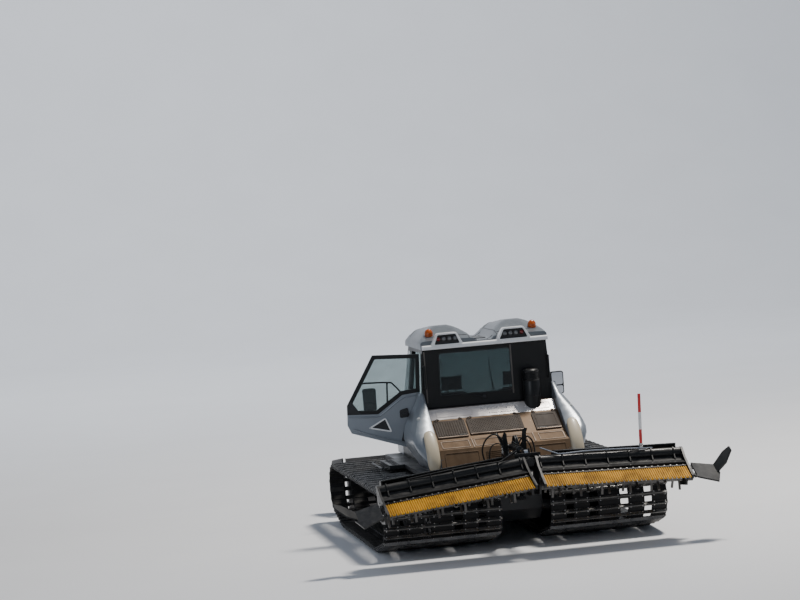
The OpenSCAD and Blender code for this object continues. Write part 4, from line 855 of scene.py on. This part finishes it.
def cushion(name, corners, thick, at, grooves=(), n=22, crown=0.035, pull=0.035):
    """A crowned cushion on a rectangular plan, its sides pulled in between corners, with sewn channels."""
    (x0, x1), (y0, y1) = corners
    row, half = n + 1, (n + 1) ** 2
    top, bottom, faces = [], [], []
    for i in range(row):
        for j in range(row):
            u, w = i / n * 2 - 1, j / n * 2 - 1
            x = (x0 + x1) / 2 + (x1 - x0) / 2 * u * (1 - pull * (1 - w * w))
            y = (y0 + y1) / 2 + (y1 - y0) / 2 * w * (1 - pull * (1 - u * u))
            fall = max(0.0, (max(abs(u), abs(w)) - 0.72) / 0.28)
            z = thick * (1 - 0.55 * fall ** 2.4) + crown * (1 - u * u) * (1 - w * w)
            for g in grooves:
                z -= 0.01 * exp(-((w - g) / 0.035) ** 2) * (1 - fall)
            top.append((x, y, z))
            bottom.append((x, y, thick * 0.16 * fall ** 2.4))
    for i in range(n):
        for j in range(n):
            a, b = i * row + j, half + i * row + j
            faces += [[a, a + 1, a + row + 1, a + row], [b, b + row, b + row + 1, b + 1]]
    rim = ([i * row for i in range(n)] + [n * row + j for j in range(n)]
           + [(n - i) * row + n for i in range(n)] + [n - j for j in range(n)])
    faces += [[a, b, half + b, half + a] for a, b in zip(rim, rim[1:] + rim[:1])]
    form = Form(at)
    form.put(top + bottom, faces)
    obj = form.make(name, "dark_fabric", sub=1)
    return obj


for s, word in SIDES:
    y = SEAT_Y * s
    base = cushion("seat_cushion_" + word, ((-0.24, 0.27), (-0.245, 0.245)), 0.095,
                   shift(SEAT_X, y, 1.452) @ turn(-2, "Y"), grooves=(-0.5, 0.5))
    if s > 0:
        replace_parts(base, "seats")
    cushion("seat_back_" + word, ((0.02, 0.66), (-0.235, 0.235)), 0.09,
            shift(0.118, y, 1.47) @ turn(-101, "Y"), grooves=(-0.55, 0, 0.55))
    cushion("seat_headrest_" + word, ((0, 0.215), (-0.165, 0.165)), 0.064,
            shift(-0.02, y, 2.16) @ turn(-98, "Y"))
    seat = Form(shift(SEAT_X, y, 0))
    seat.plate(oblong(-0.25, 0.26, -0.25, 0.25), 0.05, 1.425, 1.455, "z")
    for k in range(4):
        w, z = 0.155 - 0.012 * k, 1.215 + k * 0.05
        seat.plate(oblong(-w - 0.02, w, -w, w), 0.03, z, z + 0.035, "z")
    seat.plate(oblong(-0.16, 0.16, -0.15, 0.15), 0.02, 1.131, 1.215, "z")
    seat.prism([(-0.29, 1.46), (-0.255, 1.46), (-0.345, 2.13), (-0.368, 2.13)], -0.19, 0.19)
    for k in (-0.06, 0.06):
        seat.rod((-0.32, k, 2.1), (-0.33, k, 2.22), 0.009, 10)
    for k in (-0.275, 0.275):
        seat.plate([(-0.14, 1.625), (0.16, 1.635), (0.16, 1.675), (-0.14, 1.665)], 0.015,
                   k - 0.025, k + 0.025)
    seat.make("seat_frame_" + word, "dark_plastic", bevel=0.004)

inside = Form()
inside.plate([(1.1, 1.63), (1.135, 1.665), (1.335, 1.705), (1.4, 1.66)], 0.01, -0.3, 0.3)
for y in (0.38, 0.56):
    inside.rod((0.98, y, 1.58), (1.12, y, 1.56), 0.012, 12)
    inside.turned([(0, 0.012), (0.01, 0.024), (0.08, 0.028), (0.11, 0.018), (0.12, 0.004)], (0.975, y, 1.57),
                  (-0.25, 0, 1), 16)
for y in row(-0.78, 0.06, 6):
    inside.slab(1.075, 1.085, y, y + 0.03, 1.5, 1.53)
for y in (0.42, 0.54):
    inside.prism([(0.9, 1.16), (0.98, 1.135), (1.00, 1.15), (0.92, 1.18)], y - 0.04, y + 0.04)
inside.make("controls", "dark_plastic", bevel=0.003)
glassy = Form(shift(1.07, 0.12, 1.62) @ turn(-20, "Y"))
glassy.plate(oblong(-0.13, 0.13, -0.085, 0.085), 0.012, -0.025, 0, "x")
glassy.rod((0, 0, -0.14), (0, 0, -0.02), 0.014, 10)
glassy.make("cab_screen", "screen_face", slot="dark_plastic", bevel=0.003)

# Nose, head lamps, mirrors, steps
HEAD_LAMPS, POST_X = (0.38, 0.54, -0.38, -0.54), 1.54
nose, hood, grille, bezel, clear = (Form() for _ in range(5))
for s in (1, -1):
    for x in row(1.56, 0.055, 7):
        nose.prism([(x, 1.22), (x + 0.03, 1.22), (x + 0.055, 1.46), (x + 0.025, 1.46)],
                   s * 1.0435, s * 1.0495)
nose.make("nose_vents", "dark_plastic", bevel=0.002)
for y in (-0.62, 0.62):
    hood.tube([(1.69, y, 1.651), (1.9, y * 0.93, 1.548), (2.12, y * 0.83, 1.44)], 0.006, 6)
hood.tube([(2.13, -0.5, 1.436), (2.13, 0.5, 1.436)], 0.006, 6)
hood.make("hood_seams", "dark_plastic", slot="black_body")
for z in row(1.125, 0.022, 6):
    grille.slab(2.226, 2.238, -0.32, 0.32, z, z + 0.01)
grille.make("front_grille", "dark_plastic", bevel=0.002)
for y in HEAD_LAMPS:
    bezel.turned([(0, 0.074), (0.062, 0.074), (0.068, 0.068), (0.062, 0.056), (0.03, 0.052)],
                 (2.178, y, 1.33), X, 36)
    clear.turned([(0, 0.055), (0.03, 0.055), (0.038, 0.04), (0.042, 0.004)], (2.195, y, 1.33), X)
bezel.make("head_lamp_rims", "black_body")
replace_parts(clear.make("head_lamp_lenses", "lamp_lens"), "head_lamps")

for s, word in SIDES:
    mirror, shine, step = (Form(side(s)) for _ in range(3))
    mirror.tube([(POST_X, y, z) for y, z in
                 ((1.046, 1.5), (1.35, 1.5), (1.47, 1.52), (1.5, 1.58), (1.5, 1.85), (1.5, 2.1))], 0.017, 12)
    mirror.plate(trapeze(1.51, 0.1, 1.81, 0.105, 2.17), 0.04, 1.512, 1.575, "x")
    obj = mirror.make("mirror_" + word, "dark_plastic", slot="black_body", bevel=0.008, segments=3)
    if s > 0:
        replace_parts(obj, "mirrors")
    for low, high_half, high in ((1.96, 0.09, 2.155), (1.825, 0.087, 1.94)):
        shine.plate(trapeze(1.51, 0.085, low, high_half, high), 0.03, 1.508, 1.5125, "x")
    shine.make("mirror_glass_" + word, "mirror_face", slot="chrome_rod")
    step.tube([(x, y, 1.06) for x, y in
               ((-0.005, 1.615), (0.03, 1.64), (0.45, 1.645), (0.87, 1.64), (0.905, 1.615))], 0.016)
    for x in row(0.03, 0.1025, 9):
        for y in (1.425, 1.605):
            step.bolt((x, y, 1.0895), Z, 0.01, 0.006)
    step.make("step_rail_" + word, "dark_frame")

# Carrier: fittings, formed pipes and brackets
fit = Form()
for y in (-0.094, -0.068, 0.068, 0.094):
    for x in (-1.7, -1.92):
        fit.turned([(0, 0.021), (0.03, 0.021), (0.032, 0.017), (0.055, 0.017), (0.057, 0.019),
                    (0.085, 0.019)], (x, y, CARRIER_TOP), Z, 6)
for y in row(-0.105, 0.056, 4):
    fit.slab(-1.955, -1.905, y, y + 0.042, 1.2, 1.286)
fit.slab(-1.82, -1.74, -0.055, 0.055, 1.2895, 1.31)
for x in (-1.94, -1.68):
    for y in (-0.045, 0.045):
        fit.bolt((x, y, 1.29), Z, 0.013, 0.014)
fit.make("hose_fittings", "bright_metal", slot="chrome_rod", bevel=0.001, segments=1)
PIPES = [
    (0.012, [(-1.92, 0.094, 1.37), (-1.915, 0.11, 1.45), (-1.9, 0.16, 1.55), (-1.87, 0.25, 1.6),
             (-1.84, 0.36, 1.53), (-1.81, 0.42, 1.38), (-1.79, 0.39, 1.2), (-1.77, 0.34, 1.032)]),
    (0.01, [(-1.7, 0.094, 1.37), (-1.705, 0.11, 1.46), (-1.74, 0.15, 1.56), (-1.8, 0.19, 1.61),
             (-1.87, 0.19, 1.57), (-1.92, 0.15, 1.45), (-1.935, 0.1, 1.34), (-1.935, 0.085, 1.291)]),
    (0.012, [(-1.92, -0.094, 1.37), (-1.92, -0.11, 1.44), (-1.91, -0.16, 1.51), (-1.89, -0.25, 1.53),
             (-1.86, -0.33, 1.44), (-1.82, -0.36, 1.25), (-1.78, -0.34, 1.032)]),
    (0.01, [(-1.7, -0.068, 1.37), (-1.705, -0.09, 1.45), (-1.73, -0.15, 1.5), (-1.79, -0.24, 1.48),
             (-1.83, -0.3, 1.36), (-1.8, -0.31, 1.18), (-1.76, -0.3, 1.032)]),
    (0.009, [(-1.7, 0.068, 1.37), (-1.71, 0.1, 1.42), (-1.76, 0.2, 1.45), (-1.8, 0.29, 1.4),
             (-1.8, 0.32, 1.24), (-1.76, 0.3, 1.032)])]
pipes, clips = Form(), Form()
for r, route in PIPES:
    pipes.tube(route, r)
    for at, to in (route[:2], route[:-3:-1]):
        way = Vector(to) - Vector(at)
        clips.turned([(0, r * 1.7), (0.03, r * 1.7), (0.032, r * 1.3), (0.05, r * 1.3)], at, way, 6)
pipes.prism([(-0.215, 1.3), (-0.19, CARRIER_TOP), (-0.085, CARRIER_TOP), (-0.085, 1.36), (-0.15, 1.47),
             (-0.165, 1.63), (-0.205, 1.665), (-0.245, 1.655), (-0.225, 1.6), (-0.215, 1.45)],
            CARRIER_X, CARRIER_X + 0.012, "x")
pipes.prism([(0.07, CARRIER_TOP), (0.13, CARRIER_TOP), (0.13, 1.58), (0.105, 1.63), (0.07, 1.6)],
            CARRIER_X, CARRIER_X + 0.01, "x")
pipes.make("formed_pipes", "black_body", slot="dark_frame")
clips.make("pipe_nuts", "bright_metal", slot="chrome_rod")

# Cylinders: the barrels' glands, ports and pipe
for name, pin, end, ln in (("lift_barrel", (-1.86, 1.4), (-2.895, 1.4), 0.64),
                           ("blade_barrel", (2.37, 0.93), (2.93, 0.64), 0.33)):
    d = Vector((end[0] - pin[0], 0, end[1] - pin[1])).normalized()
    up = Vector((-d.z, 0, d.x))
    up = up if up.z > 0 else -up
    base = Vector((pin[0], 0, pin[1]))
    barrel = Form()
    barrel.turned([(ln - 0.055, 0.046), (ln - 0.052, 0.053), (ln - 0.008, 0.053), (ln - 0.004, 0.047),
                   (ln + 0.001, 0.03)], base, d, 24)
    barrel.turned([(0.062, 0.046), (0.064, 0.05), (0.095, 0.05), (0.098, 0.046)], base, d, 24)
    for t in (0.11, ln - 0.08):
        barrel.turned([(0.044, 0.014), (0.07, 0.014), (0.072, 0.01), (0.082, 0.01)], base + d * t, up, 6)
    barrel.tube([base + d * t + up * h for t, h in
                 ((0.11, 0.078), (0.16, 0.088), (ln * 0.6, 0.07), (ln - 0.08, 0.078))], 0.008, 8)
    barrel.make(name + "_fittings", "dark_frame", name)

# Tiller
Y0, Y1 = HALF_GAP + 0.031, HALF_END - 0.031
SLATS = 66
PITCH = (Y1 - Y0) / SLATS
TILLER_PIPE = [(0.02, 0.16, 0.185), (-0.03, 0.36, 0.11), (-0.05, 0.46, 0.088), (-0.04, 0.8, 0.105),
               (-0.04, 1.3, 0.105), (-0.02, 1.8, 0.092)]
for s, word in SIDES:
    body = "tiller_" + word
    half_at = shift(0, 0, FLEX_Z) @ turn(DROOP[s], "X") @ shift(0, 0, -FLEX_Z) @ side(s)
    comb_at = half_at @ shift(COMB_TOP[0], 0, COMB_TOP[1]) @ turn(-COMB_SLOPE, "Y") @ shift(-COMB_LEN, 0, 0)
    comb, teeth, metal, bolts = (Form(comb_at) for _ in range(4))
    top, line, motor = (Form(half_at) for _ in range(3))
    comb.slab(0.004, COMB_LEN, Y0, Y1, 0, 0.008)
    for k in range(SLATS):
        tall = 0.021 if k % 6 else 0.0225
        comb.prism(trapeze(Y0 + (k + 0.5) * PITCH, 0.011, 0.006, 0.008, tall), 0, COMB_LEN - 0.055, "x")
    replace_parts(comb.make("comb_face_" + word, "yellow_comb", body, bevel=0.0015, segments=1), "comb_" + word)
    for k in range(SLATS // 2):
        y = Y0 + (2 * k + 1) * PITCH
        teeth.prism([(-0.035, 0.001), (0.03, 0.001), (0.03, 0.012), (-0.03, 0.008)], y - 0.006, y + 0.006)
    for y in (HALF_GAP - 0.004, HALF_END - 0.022):
        teeth.slab(-0.01, COMB_LEN - 0.06, y, y + 0.026, 0.04, 0.054)
    teeth.make("comb_teeth_" + word, "dark_plastic", body)
    metal.slab(COMB_LEN - 0.058, COMB_LEN - 0.018, Y0, Y1, 0.0085, 0.0275)
    metal.make("comb_strip_" + word, "track_metal", body, "chrome_rod", bevel=0.002)
    for y in spread(0.14, HALF_END - 0.14, 7):
        top.turned([(0, 0.078), (0.006, 0.092), (0.022, 0.092), (0.028, 0.078)],
                   (BEAM_X, y - 0.014, FLEX_Z), Y)
        top.prism([(BEAM_X - 0.06, FLEX_Z + 0.03), (BEAM_X - 0.155, ROTOR_Z + COVER_R),
                   (BEAM_X - 0.155, ROTOR_Z + 0.235), (BEAM_X - 0.03, FLEX_Z - 0.1)], y - 0.009, y + 0.009)
    top.make("tube_flanges_" + word, "black_body", body, bevel=0.002)
    for y in spread(Y0 + 0.05, Y1 - 0.05, 23):
        bolts.bolt((COMB_LEN - 0.038, y, 0.0275), Z, 0.01, 0.009)
    bolts.at = half_at
    for y in spread(0.2, HALF_END - 0.15, 12):
        bolts.bolt((ROTOR_X - 0.15, y, ROTOR_Z + 0.2162), (-0.57, 0, 0.82))
        bolts.bolt((ROTOR_X + 0.19, y, ROTOR_Z + 0.181), (0.73, 0, 0.69))
    for dz, dx in ((0.1, 0.16), (-0.05, 0.2), (0.02, -0.2), (-0.1, 0.05), (0.16, 0.02)):
        bolts.bolt((ROTOR_X + dx, HALF_END - 0.0005, ROTOR_Z + dz), Y, 0.014, 0.012)
    bolts.make("tiller_bolts_" + word, "bright_metal", body, "chrome_rod")
    line.tube([(BEAM_X + dx, y, FLEX_Z + dz) for dx, y, dz in TILLER_PIPE], 0.01)
    line.make("pipe_" + word, "chrome_rod" if s < 0 else "black_body", body, "chrome_rod")
    motor.turned([(0, 0.105), (0.03, 0.105), (0.04, 0.085), (0.12, 0.085), (0.125, 0.06)],
                 (ROTOR_X, HALF_END, ROTOR_Z), Y)
    motor.make("cutter_motor_" + word, "dark_frame", body, "black_body")

clamp = Form(shift(0, 0, FLEX_Z) @ turn(DROOP[-1], "X"))
clamp.turned([(0, 0.034), (0.05, 0.034), (0.055, 0.027), (0.09, 0.027)], (BEAM_X, -1.64, 0.0762), Z, 20)
clamp.slab(BEAM_X - 0.05, BEAM_X + 0.05, -1.69, -1.59, 0.07, 0.084)
clamp.make("pole_clamp", "bright_metal", "tiller_right", "chrome_rod", bevel=0.001)

# Blade
back, edge = Form(), Form()
for y in (-1.45, -1.0, -0.55, 0.55, 1.0, 1.45):
    back.prism([(3.155, 0.36), (3.15, 0.62), (3.1, 0.6), (3.1, 0.4)], y - 0.012, y + 0.012)
back.slab(3.095, 3.135, -1.62, 1.62, 0.555, 0.615)
for y0, y1 in ((-1.62, -0.3), (0.3, 1.62)):
    back.slab(3.095, 3.135, y0, y1, 0.375, 0.435)
back.make("blade_ribs", "blade_paint", "blade", bevel=0.003)
cut = spread(-1.715, 1.715, 25)
for y0, y1 in zip(cut, cut[1:]):
    edge.prism([(3.226, 0.0305), (3.262, 0.0305), (3.236, 0.145), (3.212, 0.145)], y0 + 0.003, y1 - 0.003)
edge.make("cutting_edge", "worn_steel", "blade", bevel=0.002, segments=1)

# Floor, light and camera
ground = bpy.data.meshes.new("floor")
DROP, BEND_X, BEND_R = 0.001, 45, 30
sweep = [(-90, -DROP), (BEND_X, -DROP)]
for k in range(1, 13):
    a = k * pi / 24
    sweep.append((BEND_X + BEND_R * sin(a), BEND_R - BEND_R * cos(a) - DROP))
sweep.append((BEND_X + BEND_R, 90))
ground.from_pydata([(x, y, z) for x, z in sweep for y in (-140, 140)], [],
                   [[2 * k, 2 * k + 2, 2 * k + 3, 2 * k + 1] for k in range(len(sweep) - 1)])
ground.polygons.foreach_set("use_smooth", [True] * len(ground.polygons))
pale = paint("floor_pale", (0.8, 0.81, 0.83), 0.85, vary=0.02, scale=0.4, bump=0.05, grain=30)
ground.materials.append(pale)
floor = place("floor", ground)

world = bpy.context.scene.world or bpy.data.worlds.new("world")
bpy.context.scene.world = world
world.use_nodes = True
sky = world.node_tree.nodes["Background"]
sky.inputs["Color"].default_value = (0.72, 0.82, 1.0, 1)
sky.inputs["Strength"].default_value = 0.24


def area(name, at, target, size, power, colour):
    data = bpy.data.lights.new(name, "AREA")
    data.size, data.energy, data.color = size, power, colour
    obj = place(name, data)
    obj.location = at
    obj.rotation_euler = (Vector(target) - Vector(at)).to_track_quat("-Z", "Y").to_euler()


area("key", (2.5, -8, 22), (-0.5, 0, 1), 3.5, 6600, (1.0, 0.95, 0.88))
area("fill", (-18, 12, 9), (-1, 0, 1), 10, 650, (0.86, 0.92, 1.0))
area("wash", (25, 0, 42), (75, 0, 18), 30, 26000, (0.95, 0.97, 1.0))

# The camera's place and turns in degrees, as fitted to the photograph
CAMERA_AT = (-44.8492, 8.6576, 5.8671)
CAMERA_TIP, CAMERA_ROLL, CAMERA_YAW = 87.12417, 4.57056, -99.72144
cam_data = bpy.data.cameras.new("camera")
cam_data.lens, cam_data.sensor_width, cam_data.clip_end = 135, 36, 400
cam = place("camera", cam_data)
cam.matrix_world = shift(*CAMERA_AT) @ turn(CAMERA_YAW, "Z") @ turn(CAMERA_ROLL, "Y") @ turn(CAMERA_TIP, "X")
bpy.context.scene.camera = cam
